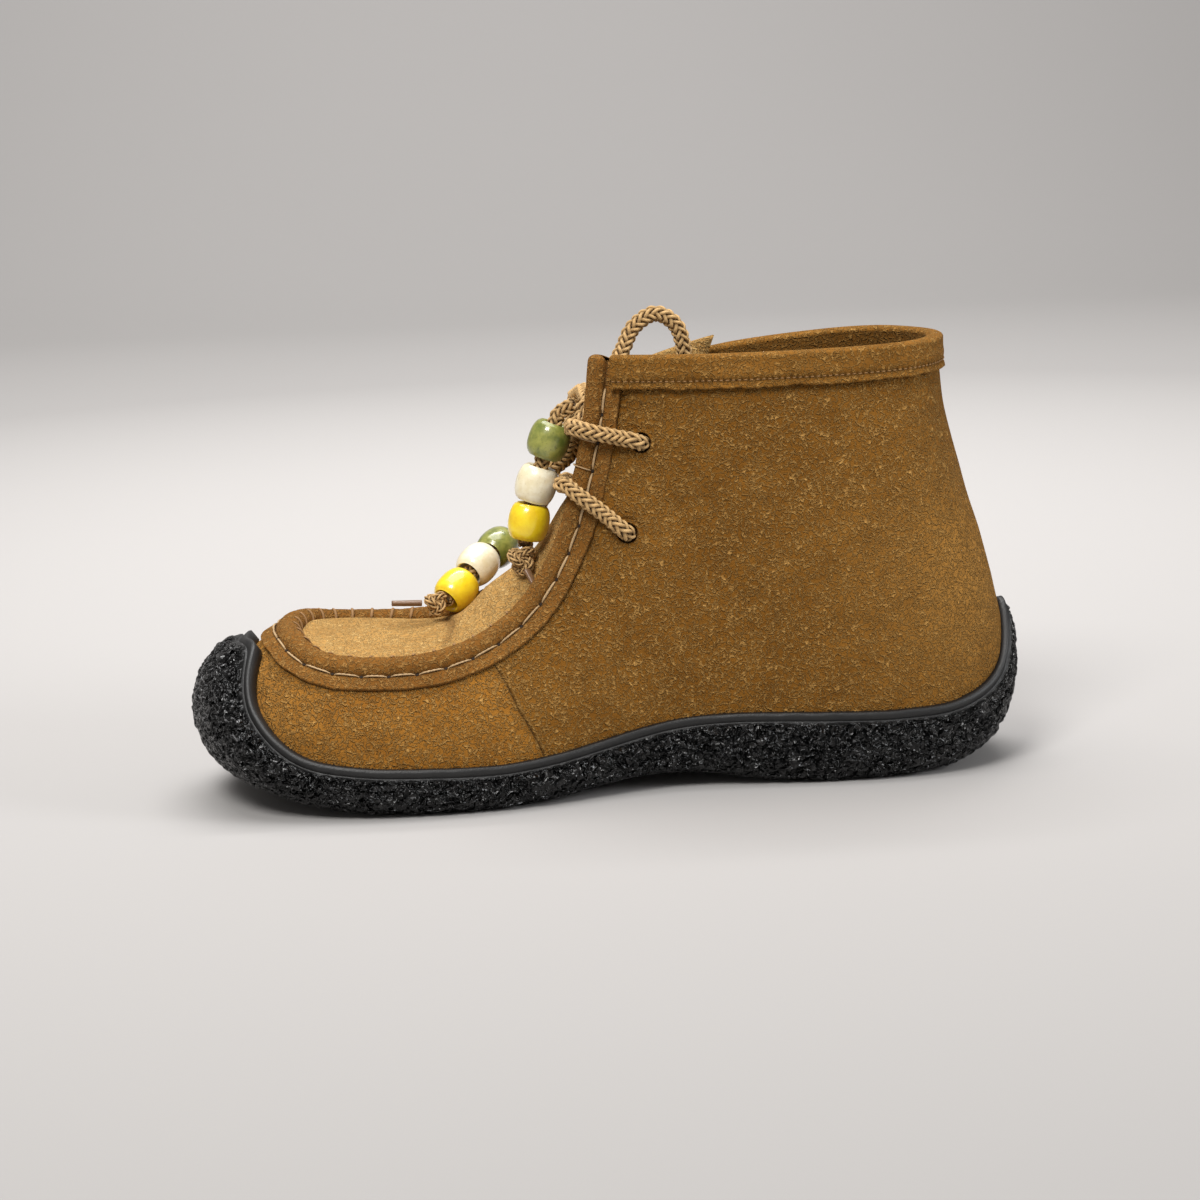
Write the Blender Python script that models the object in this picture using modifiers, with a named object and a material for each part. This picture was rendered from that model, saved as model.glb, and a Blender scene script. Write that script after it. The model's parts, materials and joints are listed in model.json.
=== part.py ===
# Right mukluk ankle boot: a suede moccasin upper in a rubber cup sole that climbs over toe and heel.
# Metres, +Z up, standing on Z = 0. The toe points to -X, the inner side of the foot faces -Y.

import math
from collections import namedtuple
from functools import lru_cache

import bmesh
import bpy
import numpy as np
from mathutils import Matrix, Vector

# Driving dimensions of the last and the upper.
LAST_LENGTH = 0.259
BALL_WIDTH = 0.090
APRON_WIDTH = 0.063
THROAT_WIDTH = 0.032
COLLAR_WIDTH = 0.065
TOE_SEAM_HEIGHT = 0.047
COLLAR_HEIGHT = 0.140
COLLAR_DIP = 0.007
THROAT_LAG = 0.004
WALL = 0.002
GAP = 0.0004

# Driving dimensions of the sole and the insole.
FORE_FLOOR = 0.0105
HEEL_FLOOR = 0.0185
TOE_SPRING = 0.0095
TOE_CAP_DROP = 0.0047
HEEL_CUP_HEIGHT = 0.0520
FORE_SIDE_HEIGHT = 0.0155
HEEL_SIDE_HEIGHT = 0.0242
ARCH_LIFT = 0.005
TIP_LIFT = 0.0095
LIP_STEP = 0.0008
LIP_HEIGHT = 0.0028
INSOLE_THICKNESS = 0.004

# Driving dimensions of the binding, the collar band and the tongue.
BINDING_SKIN = 0.0012
BINDING_FLANGE = 0.0098
TOE_ROLL_RADIUS = 0.0041
THROAT_ROLL_RADIUS = 0.0036
ROLL_INSET = 0.0012
ROLL_SINK = 0.0005
ROLL_END = 0.0020
COLLAR_BAND = 0.0091
BAND_SKIN = 0.0014
TONGUE_THICKNESS = 0.0018
TONGUE_DEPTH = 0.0066

# Driving dimensions of the lace and what hangs on it.
LACE_DIAMETER = 0.0055
EYELET_HOLE = 0.0068
BEAD_DIAMETER = 0.0135
BEAD_LENGTH = 0.0118
BEAD_HOLE = 0.0078
END_KNOT = 0.0088
AGLET_DIAMETER = 0.0034
LOWER_CROSSING = 9.98
UPPER_CROSSING = 10.98

# How finely the loops are cut.
STEPS_AT_ENDS = 3
STEPS_AT_SIDES = 2
WALL_STEPS = 6
CORD_STEP = 0.0036

Section = namedtuple(
    "Section",
    "name foot_x foot_in foot_out heel spring top_x top_in top_out across rise slack "
    "low bulge shoulder swell drop",
)

# One row for each section round the last, from the toe tip along one side to the heel back.
# foot_x and top_x are shares of LAST_LENGTH from the middle, foot_in and foot_out of BALL_WIDTH,
# top_in and top_out of the width named in across, heel and spring of the floor's heel rise and toe
# spring, rise of the way from TOE_SEAM_HEIGHT to COLLAR_HEIGHT, slack of the outer side's dip and lag,
# and below zero that side stands higher instead.
# low and drop are shares of the section's height and shoulder of its inset, where the wall's curve
# leaves the foot and the top. bulge and swell are shares of BALL_WIDTH, outwards at those two places.
SECTIONS = [Section(*row) for row in (
    ("toe_tip", -.498, .03, -.03, 0, 1, -.4, .035, -.035, "apron", .072, 0, .5, .02, .52, 0, .03),
    ("toe_front", -.485, .195, .14, 0, .93, -.393, .21, .15, "apron", .06, -.2, .5, .02, .52, 0, .03),
    ("toe_corner", -.448, .342, .29, 0, .75, -.376, .352, .31, "apron", .027, -.5, .5, .02, .52, 0, .06),
    ("toe_side", -.394, .44, .408, 0, .5, -.348, .445, .43, "apron", .006, -.5, .5, .022, .56, 0, .12),
    ("ball_front", -.324, .492, .482, 0, .22, -.301, .49, .49, "apron", -.004, -.45, .5, .024, .6, 0, .18),
    ("ball", -.239, .503, .515, 0, .05, -.239, .5, .508, "apron", .001, -.3, .5, .026, .6, .004, .18),
    ("ball_back", -.154, .483, .52, .05, 0, -.178, .468, .484, "apron", .043, -.15, .48, .028, .58, .014, .18),
    ("vamp", -.085, .44, .498, .18, 0, -.127, .413, .428, "apron", .123, 0, .46, .032, .56, .03, .16),
    ("waist", -.027, .392, .458, .42, 0, -.089, .725, .75, "throat", .237, .2, .44, .038, .54, .05, .13),
    ("instep", .023, .355, .42, .7, 0, -.058, .64, .66, "throat", .387, .5, .44, .044, .54, .07, .1),
    ("throat", .07, .335, .39, .92, 0, -.037, .562, .562, "throat", .558, .8, .44, .05, .52, .08, .1),
    ("throat_top", .116, .332, .375, 1.02, 0, -.02, .515, .515, "throat", .76, 1, .42, .054, .44, .08, .14),
    ("corner", .158, .34, .37, 1.04, 0, -.009, .484, .484, "throat", .99, 1, .38, .056, .34, .07, .26),
    ("collar_front", .208, .352, .368, 1.02, 0, .077, .4, .4, "collar", .992, .9, .34, .058, .28, .03, .36),
    ("collar_mid", .272, .366, .37, 1, 0, .185, .485, .485, "collar", .994, .4, .33, .056, .2, .01, .38),
    ("ankle", .352, .362, .36, 1, 0, .297, .492, .492, "collar", .998, .1, .32, .062, .1, 0, .38),
    ("heel_side", .43, .312, .308, 1, 0, .369, .423, .423, "collar", 1.002, 0, .31, .085, .05, 0, .38),
    ("heel_corner", .482, .188, .185, 1.02, 0, .413, .246, .246, "collar", 1.004, 0, .3, .106, 0, -.006, .37),
    ("heel_back", .5, 0, 0, 1.05, 0, .4305, 0, 0, "collar", 1.006, 0, .3, .12, 0, -.011, .37),
)]
CORNER = [s.name for s in SECTIONS].index("corner")
TOP_WIDTHS = {"apron": APRON_WIDTH, "throat": THROAT_WIDTH, "collar": COLLAR_WIDTH}

SoleSection = namedtuple(
    "SoleSection", "name toe heel side lip arch_in arch_out tip tuck flare foot_flare high low"
)

# The sole at the same sections. toe, heel and side say how far the rubber's top edge has climbed to the
# toe cap, to the heel cup, and from the forefoot side to the heel side. arch_in, arch_out and tip are
# shares of ARCH_LIFT and TIP_LIFT. lip is the edge's thickness and tuck sets the tread's edge in from
# the upper's foot. flare and foot_flare swell the side out at its top and its foot, and all four are
# shares of BALL_WIDTH. high and low are shares of the side's height where those two take hold.
SOLE_SECTIONS = [SoleSection(*row) for row in (
    ("toe_tip", 1, 0, 0, .046, 0, 0, 1.14, .052, .208, .205, .08, .14),
    ("toe_front", .96, 0, 0, .044, 0, 0, 1, .052, .198, .198, .08, .14),
    ("toe_corner", .52, 0, 0, .036, 0, 0, .72, .056, .12, .158, .14, .16),
    ("toe_side", .17, 0, 0, .025, 0, 0, .39, .054, .044, .112, .25, .2),
    ("ball_front", .05, 0, 0, .018, 0, 0, .12, .046, .022, .095, .3, .22),
    ("ball", .01, 0, 0, .017, 0, 0, 0, .04, .018, .086, .32, .22),
    ("ball_back", 0, 0, -.02, .017, 0, 0, 0, .04, .018, .084, .32, .22),
    ("vamp", 0, 0, .15, .017, .22, .05, 0, .038, .018, .08, .32, .22),
    ("waist", 0, 0, .45, .017, .65, .2, 0, .036, .018, .076, .32, .22),
    ("instep", 0, 0, .74, .017, .95, .36, 0, .036, .018, .074, .32, .22),
    ("throat", 0, 0, .96, .017, 1, .4, 0, .036, .018, .074, .32, .22),
    ("throat_top", 0, 0, 1.06, .017, .82, .3, 0, .036, .018, .076, .32, .22),
    ("corner", 0, 0, 1.08, .017, .46, .15, 0, .036, .018, .08, .32, .22),
    ("collar_front", 0, 0, 1.05, .017, .12, .03, 0, .038, .018, .084, .32, .2),
    ("collar_mid", 0, 0, .99, .018, 0, 0, 0, .042, .02, .09, .32, .2),
    ("ankle", 0, 0, .94, .019, 0, 0, .02, .048, .02, .096, .32, .18),
    ("heel_side", 0, .05, .97, .021, 0, 0, .16, .064, .024, .108, .3, .17),
    ("heel_corner", 0, .33, 1, .023, 0, 0, .4, .08, .034, .132, .26, .16),
    ("heel_back", 0, 1, 1, .026, 0, 0, .6, .09, .05, .155, .22, .16),
)]

LAST = len(SECTIONS) - 1
RING = 2 * LAST

ApronRow = namedtuple("ApronRow", "place turn centre_x centre_z roundness")

# The apron's rows from toe to instep. place is the section whose roll the row's edges meet, turn the
# degrees from the roll's inward side to its underside, centre_x a share of LAST_LENGTH and centre_z of
# COLLAR_HEIGHT for the middle of the row. A greater roundness keeps the row full nearer its edges.
APRON_ROWS = [
    ApronRow(0.12, 6, -0.3822, 0.372, 2.0),
    ApronRow(0.60, 8, -0.379, 0.370, 2.0),
    ApronRow(1.30, 10, -0.372, 0.366, 2.0),
    ApronRow(2.00, 16, -0.357, 0.361, 2.0),
    ApronRow(2.70, 20, -0.335, 0.357, 2.0),
    ApronRow(3.50, 24, -0.307, 0.354, 2.0),
    ApronRow(4.25, 28, -0.270, 0.354, 2.0),
    ApronRow(5.00, 34, -0.236, 0.358, 2.0),
    ApronRow(5.60, 44, -0.202, 0.370, 1.8),
    ApronRow(6.20, 58, -0.175, 0.405, 1.5),
    ApronRow(6.80, 74, -0.150, 0.452, 1.5),
]

TongueRow = namedtuple("TongueRow", "side_x side_z centre_x centre_z lift roundness")

# The tongue's rows above them. side_x and side_z place its edges on the wall's inside, centre_x and
# centre_z its middle, as shares of LAST_LENGTH and COLLAR_HEIGHT. lift raises the outer edge above the
# dipped collar.
TONGUE_ROWS = [
    TongueRow(-0.096, 0.415, -0.128, 0.482, 0.00, 1.6),
    TongueRow(-0.066, 0.490, -0.0975, 0.524, 0.00, 1.8),
    TongueRow(-0.038, 0.575, -0.074, 0.572, 0.00, 2.0),
    TongueRow(-0.012, 0.660, -0.054, 0.630, 0.00, 2.1),
    TongueRow(0.016, 0.745, -0.0285, 0.700, 0.00, 2.3),
    TongueRow(0.054, 0.820, -0.015, 0.770, 0.00, 2.5),
    TongueRow(0.100, 0.890, -0.005, 0.850, 0.00, 2.7),
    TongueRow(0.139, 0.940, 0.003, 0.920, 0.118, 2.8),
]

Eyelet = namedtuple("Eyelet", "row x z")

# x is a share of LAST_LENGTH from the middle, z of COLLAR_HEIGHT.
EYELETS = [Eyelet("lower", 0.0198, 0.606), Eyelet("upper", 0.0420, 0.808)]

# Smooth loops through the sections

def hermite(before, start, end, after, way, keep_start, keep_end):
    """A value between start and end, smooth past both unless a corner keeps to its own side."""
    leave = (end - before) / 2 if not keep_start else end - start
    arrive = (after - start) / 2 if not keep_end else end - start
    squared, cubed = way * way, way ** 3
    return (
        (2 * cubed - 3 * squared + 1) * start
        + (cubed - 2 * squared + way) * leave
        + (3 * squared - 2 * cubed) * end
        + (cubed - squared) * arrive
    )


def loop_value(values, place, corners=()):
    """values holds one entry for each section round the whole ring. place runs from 0 at the toe tip."""
    place = place % RING
    index = int(math.floor(place))
    near = [values[(index + step) % RING] for step in (-1, 0, 1, 2)]
    return hermite(*near, place - index, index in corners, (index + 1) % RING in corners)


def ring_of(inner, outer):
    """The values of the inner side from toe to heel, then those of the outer side back to the toe."""
    return list(inner) + list(outer)[LAST - 1:0:-1]


def floor_height(section):
    rise = (HEEL_FLOOR - FORE_FLOOR) * section.heel
    return FORE_FLOOR + rise + TOE_SPRING * section.spring


def foot_point(section, side):
    across = -section.foot_in if side < 0 else section.foot_out
    return np.array([LAST_LENGTH * section.foot_x, BALL_WIDTH * across, floor_height(section) + GAP])


def top_point(section, side):
    across = -section.top_in if side < 0 else section.top_out
    slack = section.slack if side > 0 else 0.0
    return np.array([
        LAST_LENGTH * section.top_x + THROAT_LAG * max(slack, 0.0),
        TOP_WIDTHS[section.across] * across,
        TOE_SEAM_HEIGHT + (COLLAR_HEIGHT - TOE_SEAM_HEIGHT) * section.rise - COLLAR_DIP * slack,
    ])


FEET = ring_of([foot_point(s, -1) for s in SECTIONS], [foot_point(s, 1) for s in SECTIONS])
TOPS = ring_of([top_point(s, -1) for s in SECTIONS], [top_point(s, 1) for s in SECTIONS])
SHAPES = [np.array([s.low, s.bulge, s.shoulder, s.swell, s.drop]) for s in SECTIONS]
SHAPES = ring_of(SHAPES, SHAPES)
CORNERS = (CORNER, RING - CORNER)


def level_outward(place):
    """The level direction out of the foot's outline at this place."""
    along = loop_value(FEET, place + 0.02) - loop_value(FEET, place - 0.02)
    out = np.array([-along[1], along[0], 0.0])
    return -out / np.linalg.norm(out)


@lru_cache(maxsize=None)
def handles(place):
    """The four points of the wall's curve at this place, from the foot to the top."""
    foot, top = loop_value(FEET, place), loop_value(TOPS, place, CORNERS)
    low, bulge, shoulder, swell, drop = loop_value(SHAPES, place)
    out, height = level_outward(place), top[2] - foot[2]
    up = np.array([0.0, 0.0, height])
    inset = (foot - top) * np.array([1.0, 1.0, 0.0])
    return (
        foot,
        foot + up * low + out * bulge * BALL_WIDTH,
        top + inset * shoulder - up * drop + out * swell * BALL_WIDTH,
        top,
    )


def surface(place, climb):
    """A point of the wall's outer face: climb runs from 0 at its foot to 1 at its top edge."""
    a, b, c, d = handles(round(place % RING, 5))
    rest = 1 - climb
    return rest ** 3 * a + 3 * rest ** 2 * climb * b + 3 * rest * climb ** 2 * c + climb ** 3 * d


def normal(place, climb):
    """The direction out of the wall."""
    before, after = place - 0.03, place + 0.03
    for corner in CORNERS:
        if abs(place % RING - corner) < 0.03:
            before, after = (place, after) if corner < LAST else (before, place)
    along = surface(after, climb) - surface(before, climb)
    rising = surface(place, min(1.0, climb + 0.02)) - surface(place, max(0.0, climb - 0.02))
    out = np.cross(along, rising)
    return out / np.linalg.norm(out)


def wall(place, climb, offset=0.0):
    """A point of the wall's outer face, or that far out of it."""
    point = surface(place, climb)
    return point + normal(place, climb) * offset if offset else point


def climb_at_height(place, height):
    low, high = 0.0, 1.0
    for _ in range(24):
        middle = (low + high) / 2
        low, high = (middle, high) if surface(place, middle)[2] < height else (low, middle)
    return (low + high) / 2


def solve_on_wall(errors, place, climb):
    """The place and climb, searched from those given, where both errors vanish."""
    for _ in range(12):
        here = np.array(errors(place, climb))
        by_place = (np.array(errors(place + 0.01, climb)) - here) / 0.01
        by_climb = (np.array(errors(place, climb - 0.005)) - here) / -0.005
        step = np.linalg.solve(np.column_stack([by_place, by_climb]), -here)
        place += float(np.clip(step[0], -0.4, 0.4))
        climb = float(np.clip(climb + np.clip(step[1], -0.1, 0.1), 0.0, 1.0))
        if abs(here).max() < 1e-6:
            break
    return place, climb


def wall_place(side, x, z):
    """Where the wall's outer face passes x and z, seen from that side: -1 inner, 1 outer."""
    start = min(
        ((abs(surface(p, c)[0] - x) + abs(surface(p, c)[2] - z), p, c)
         for p in np.arange(4, LAST - 2, 0.5) for c in np.arange(0.3, 1.01, 0.1)),
    )
    place = start[1] if side < 0 else RING - start[1]
    return solve_on_wall(lambda p, c: (surface(p, c) - (x, 0, z))[[0, 2]], place, start[2])


@lru_cache(maxsize=None)
def edge_frame(place, lean=0):
    """The wall's top edge, the directions along it and down the wall across it, and out of the wall."""
    before, after = surface(place - 0.03, 1.0), surface(place + 0.03, 1.0)
    if lean > 0:
        before = surface(place, 1.0)
    if lean < 0:
        after = surface(place, 1.0)
    along = (after - before) / np.linalg.norm(after - before)
    out = normal(place + 0.031 * lean, 0.995)
    down = np.cross(along, out)
    return surface(place, 1.0), along, down / np.linalg.norm(down), out


@lru_cache(maxsize=None)
def across_edge(place, distance, lean=0):
    """The place and climb this far down the wall, straight across its top edge."""
    top, along, down, out = edge_frame(place, lean)

    def errors(p, c):
        away = surface(p, c) - top
        return away @ along, np.linalg.norm(away) - distance

    return solve_on_wall(errors, place, 0.94)


def edge_point(place, distance, offset, lean=0):
    """A point this far down the wall across its top edge, or past the edge where distance is negative."""
    if distance > 0:
        p, c = across_edge(place, distance, lean)
        return wall(p, c, offset)
    top, along, down, out = edge_frame(place, lean)
    return top + down * distance + out * offset


# Meshes

def new_object(name, vertices, faces, finish, collection):
    mesh = bpy.data.meshes.new(name)
    mesh.from_pydata([tuple(map(float, v)) for v in vertices], [], faces)
    mesh.update()
    thing = bpy.data.objects.new(name, mesh)
    mesh.materials.append(finish)
    collection.objects.link(thing)
    return thing


def face_outwards(thing):
    work = bmesh.new()
    work.from_mesh(thing.data)
    bmesh.ops.recalc_face_normals(work, faces=work.faces)
    if all(edge.is_manifold for edge in work.edges) and work.calc_volume(signed=True) < 0:
        bmesh.ops.reverse_faces(work, faces=work.faces)
    work.to_mesh(thing.data)
    work.free()
    return thing


def smooth(thing, angle=40):
    thing.data.shade_smooth()
    thing.data.set_sharp_from_angle(angle=math.radians(angle))
    return thing


def grid_faces(rows, columns, closed_rows=False, closed_columns=False):
    faces = []
    for r in range(rows if closed_rows else rows - 1):
        for c in range(columns if closed_columns else columns - 1):
            r2, c2 = (r + 1) % rows, (c + 1) % columns
            faces.append((r * columns + c, r * columns + c2, r2 * columns + c2, r2 * columns + c))
    return faces


def sheet(name, grid, finish, collection, closed=False):
    """An open surface through a list of rows of points."""
    vertices = [p for row in grid for p in row]
    return new_object(name, vertices, grid_faces(len(grid), len(grid[0]), closed), finish, collection)


def loft(name, sections, finish, collection):
    """A solid through closed sections with as many points each, capped at both ends."""
    count = len(sections[0])
    faces = grid_faces(len(sections), count, False, True)
    faces.append(tuple(range(count)))
    faces.append(tuple((len(sections) - 1) * count + i for i in reversed(range(count))))
    vertices = [p for section in sections for p in section]
    return smooth(face_outwards(new_object(name, vertices, faces, finish, collection)))


def ring_solid(name, columns, finish, collection, strips):
    """A solid whose side runs through columns of points round the ring, closed by strips across it."""
    height, around = len(columns[0]), len(columns)
    vertices = [p for column in columns for p in column]
    faces = grid_faces(around, height, True)
    for level in (0, height - 1):
        rows = [[level]]
        for i in range(1, around // 2):
            near, far = i * height + level, (around - i) * height + level
            inner = []
            for j in range(1, strips):
                share = j / strips
                inner.append(len(vertices))
                vertices.append(vertices[near] * (1 - share) + vertices[far] * share)
            rows.append([near, *inner, far])
        rows.append([(around // 2) * height + level])
        for row, following in zip(rows, rows[1:]):
            if len(row) == 1:
                faces += [(row[0], b, a) for a, b in zip(following, following[1:])]
            elif len(following) == 1:
                faces += [(a, b, following[0]) for a, b in zip(row, row[1:])]
            else:
                faces += [
                    (row[k], row[k + 1], following[k + 1], following[k]) for k in range(strips)
                ]
    return smooth(face_outwards(new_object(name, vertices, faces, finish, collection)))


def places(first, last):
    """Places round the ring from one section to another, closer at the toe and the heel."""
    found, section = [], first
    step = 1 if last > first else -1
    while (last - section) * step > 0:
        middle = min(abs(section + step / 2) % RING, RING - abs(section + step / 2) % RING)
        count = STEPS_AT_ENDS if middle < 4 or middle > LAST - 4 else STEPS_AT_SIDES
        found += [section + step * i / count for i in range(count)]
        section += step
    return found + [last]


def thickened(thing, thickness, offset=-1):
    shell = thing.modifiers.new("thickness", "SOLIDIFY")
    shell.thickness = thickness
    shell.offset = offset
    shell.use_even_offset = True
    return thing


def cut(thing, cutter):
    cutter.hide_render = True
    cutter.display_type = "WIRE"
    hole = thing.modifiers.new("cut_" + cutter.name, "BOOLEAN")
    hole.operation = "DIFFERENCE"
    hole.object = cutter
    return thing


# Cords and what hangs on them

def smooth_route(points, step=CORD_STEP):
    """Points along a smooth curve through the route's points."""
    points = [np.array(p, float) for p in points]
    ends = [2 * points[0] - points[1]] + points + [2 * points[-1] - points[-2]]
    found = []
    for before, start, end, after in zip(ends, ends[1:], ends[2:], ends[3:]):
        count = max(1, round(np.linalg.norm(end - start) / step))
        found += [hermite(before, start, end, after, i / count, False, False) for i in range(count)]
    return found + [points[-1]]


def cord(name, route, diameter, finish, collection, sides=2):
    curve = bpy.data.curves.new(name, "CURVE")
    curve.dimensions = "3D"
    curve.bevel_depth = diameter / 2
    curve.bevel_resolution = sides
    curve.use_fill_caps = True
    line = curve.splines.new("POLY")
    line.points.add(len(route) - 1)
    for point, at in zip(line.points, route):
        point.co = (*map(float, at), 1.0)
    thing = bpy.data.objects.new(name, curve)
    curve.materials.append(finish)
    collection.objects.link(thing)
    return thing


def turned(name, profile, centre, axis, finish, collection, steps=10):
    """A turned piece: profile lists (radius, height) round its section, axis is its direction."""
    mesh = bpy.data.meshes.new(name)
    count = len(profile)
    edges = [(i, (i + 1) % count) for i in range(count)]
    mesh.from_pydata([(radius, 0.0, height) for radius, height in profile], edges, [])
    mesh.materials.append(finish)
    thing = bpy.data.objects.new(name, mesh)
    collection.objects.link(thing)
    turn = thing.modifiers.new("turn", "SCREW")
    turn.steps = turn.render_steps = steps
    turn.use_merge_vertices = True
    turn.merge_threshold = 0.00001
    turn.use_smooth_shade = True
    thing.rotation_mode = "QUATERNION"
    thing.rotation_quaternion = Vector(axis).to_track_quat("Z", "Y")
    thing.location = Vector(centre)
    return thing


def bead(name, centre, axis, finish, collection):
    hole, radius, half = BEAD_HOLE / 2, BEAD_DIAMETER / 2, BEAD_LENGTH / 2
    outside = [(0.70, 1.0), (0.93, 0.72), (1.0, 0.0), (0.93, -0.72), (0.70, -1.0)]
    profile = [(hole, half)] + [(radius * r, half * h) for r, h in outside] + [(hole, -half)]
    return turned(name, profile, centre, axis, finish, collection)


def lump(name, centre, size, axis, finish, collection):
    """A knot as one rounded lump, size across, across and along its axis."""
    bpy.ops.mesh.primitive_uv_sphere_add(segments=10, ring_count=6, radius=0.5, location=Vector(centre))
    thing = bpy.context.object
    thing.name = name
    thing.data.transform(Matrix.Diagonal((*size, 1.0)))
    thing.data.shade_smooth()
    thing.data.materials.append(finish)
    thing.rotation_mode = "QUATERNION"
    thing.rotation_quaternion = Vector(axis).to_track_quat("Z", "Y")
    for holder in list(thing.users_collection):
        holder.objects.unlink(thing)
    collection.objects.link(thing)
    return thing


# Materials

def material(name, colour, roughness):
    made = bpy.data.materials.new(name)
    made.use_nodes = True
    shader = made.node_tree.nodes["Principled BSDF"]
    shader.inputs["Base Color"].default_value = (*colour, 1.0)
    shader.inputs["Roughness"].default_value = roughness
    shader.inputs["Metallic"].default_value = 0.0
    return made


# Upper

def build_upper(finish, boot, tools):
    ring = places(0, RING)[:-1]
    climbs = [(i / WALL_STEPS) ** 0.85 for i in range(WALL_STEPS + 1)]
    upper = sheet("upper", [[wall(p, c) for c in climbs] for p in ring], finish, boot, closed=True)
    face_outwards(upper)
    smooth(thickened(upper, WALL))
    for side, name in ((-1, "inner"), (1, "outer")):
        for eyelet in EYELETS:
            place, climb = eyelet_place(side, eyelet)
            bpy.ops.mesh.primitive_cylinder_add(
                vertices=16, radius=EYELET_HOLE / 2, depth=4 * WALL,
                location=wall(place, climb, -WALL / 2),
                rotation=Vector(normal(place, climb)).to_track_quat("Z", "Y").to_euler(),
            )
            cutter = bpy.context.object
            cutter.name = f"{name}_{eyelet.row}_eyelet_hole"
            for holder in list(cutter.users_collection):
                holder.objects.unlink(cutter)
            tools.objects.link(cutter)
            cut(upper, cutter)
    return upper


def eyelet_place(side, eyelet):
    lag, dip = THROAT_LAG * max(side, 0), COLLAR_DIP * max(side, 0)
    return wall_place(side, eyelet.x * LAST_LENGTH + lag, eyelet.z * (COLLAR_HEIGHT - dip))


# Cup sole

def build_outsole(finish, boot):
    inner = [np.array([s.toe, s.heel, s.side, s.lip, s.arch_in, *s[7:]]) for s in SOLE_SECTIONS]
    outer = [np.array([s.toe, s.heel, s.side, s.lip, s.arch_out, *s[7:]]) for s in SOLE_SECTIONS]
    shares = ring_of(inner, outer)
    up = np.array([0.0, 0.0, 1.0])
    cap_height = top_point(SECTIONS[0], 1)[2] - TOE_CAP_DROP
    columns = []
    for place in places(0, RING)[:-1]:
        toe, heel, side, lip, arch, tip, tuck, flare, foot_flare, high, low = loop_value(shares, place)
        edge = FORE_SIDE_HEIGHT + (HEEL_SIDE_HEIGHT - FORE_SIDE_HEIGHT) * side
        edge += (cap_height - FORE_SIDE_HEIGHT) * toe
        edge += (HEEL_CUP_HEIGHT - HEEL_SIDE_HEIGHT) * heel
        top = climb_at_height(place, edge)
        run = np.linalg.norm(surface(place, top) - surface(place, 0))
        step = top * (1 - min(0.8, LIP_HEIGHT / run))
        out, foot = level_outward(place), wall(place, 0)
        tread = foot - out * tuck * BALL_WIDTH
        tread[2] = max(ARCH_LIFT * arch + TIP_LIFT * tip, 0.0)
        shoulder = wall(place, step, GAP + lip * BALL_WIDTH + LIP_STEP)
        height = shoulder[2] - tread[2]
        under = shoulder + out * flare * BALL_WIDTH - up * high * height
        over = tread + out * foot_flare * BALL_WIDTH + up * low * height
        column = [foot - up * GAP + out * GAP]
        column += [wall(place, top * i / 5, GAP) for i in (1, 2, 3, 4, 5)]
        column += [wall(place, c, GAP + lip * BALL_WIDTH) for c in (top, step)]
        for i in range(6):
            way = i / 5
            rest = 1 - way
            ends = rest ** 3 * shoulder + way ** 3 * tread
            column.append(ends + 3 * rest ** 2 * way * under + 3 * rest * way ** 2 * over)
        columns.append(column)
    return ring_solid("outsole", columns, finish, boot, 4)


def build_insole(finish, boot):
    columns = []
    for place in places(0, RING)[:-1]:
        edge = wall(place, 0) - level_outward(place) * (WALL + 2 * GAP)
        columns.append([edge, edge + np.array([0, 0, INSOLE_THICKNESS])])
    return ring_solid("insole", columns, finish, boot, 2)


# Binding, collar band, apron and tongue

def roll_radius(place):
    place = min(abs(place) % RING, RING - abs(place) % RING)
    share = min(max((place - 5) / 4, 0), 1)
    return TOE_ROLL_RADIUS + (THROAT_ROLL_RADIUS - TOE_ROLL_RADIUS) * share


def binding_profile(radius):
    """The binding's section as distances down the wall and offsets out of it."""
    inside, outside = -WALL - GAP, GAP + BINDING_SKIN * 0.8
    low = ROLL_INSET + math.sqrt(radius ** 2 - (inside + ROLL_SINK) ** 2)
    groove = ROLL_INSET + math.sqrt(radius ** 2 - (outside + ROLL_SINK) ** 2)
    start = math.atan2(inside + ROLL_SINK, low - ROLL_INSET)
    finish = math.atan2(outside + ROLL_SINK, groove - ROLL_INSET)
    section = [(BINDING_FLANGE * share, GAP) for share in (1, 0.67, 0.33)]
    section += [(-GAP, GAP), (-GAP, inside), (low, inside)]
    for i in range(1, 9):
        angle = start - (start + 2 * math.pi - finish) * i / 8
        section.append((ROLL_INSET + radius * math.cos(angle), radius * math.sin(angle) - ROLL_SINK))
    return section + [(BINDING_FLANGE * share, GAP + BINDING_SKIN) for share in (0.67, 1)]


def build_binding(finish, boot):
    sections = []
    for place in places(CORNER, -CORNER):
        lean = {CORNER: -1, -CORNER: 1}.get(place, 0)
        profile = binding_profile(roll_radius(place))
        sections.append([edge_point(place, d, o, lean) for d, o in profile])
    ends = tall_end(*sections[:2]), tall_end(*sections[:-3:-1])
    return loft("moc_binding", [ends[0], *sections, ends[1]], finish, boot)


def tall_end(last, before):
    """The binding's end section carried on, by ROLL_END at the roll and little at the flange."""
    raised = []
    for index, (point, inner) in enumerate(zip(last, before)):
        at_flange = index < 2 or index > len(last) - 3
        along = (point - inner) / np.linalg.norm(point - inner)
        raised.append(point + along * ROLL_END * (0.08 if at_flange else 1.0))
    return raised


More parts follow.
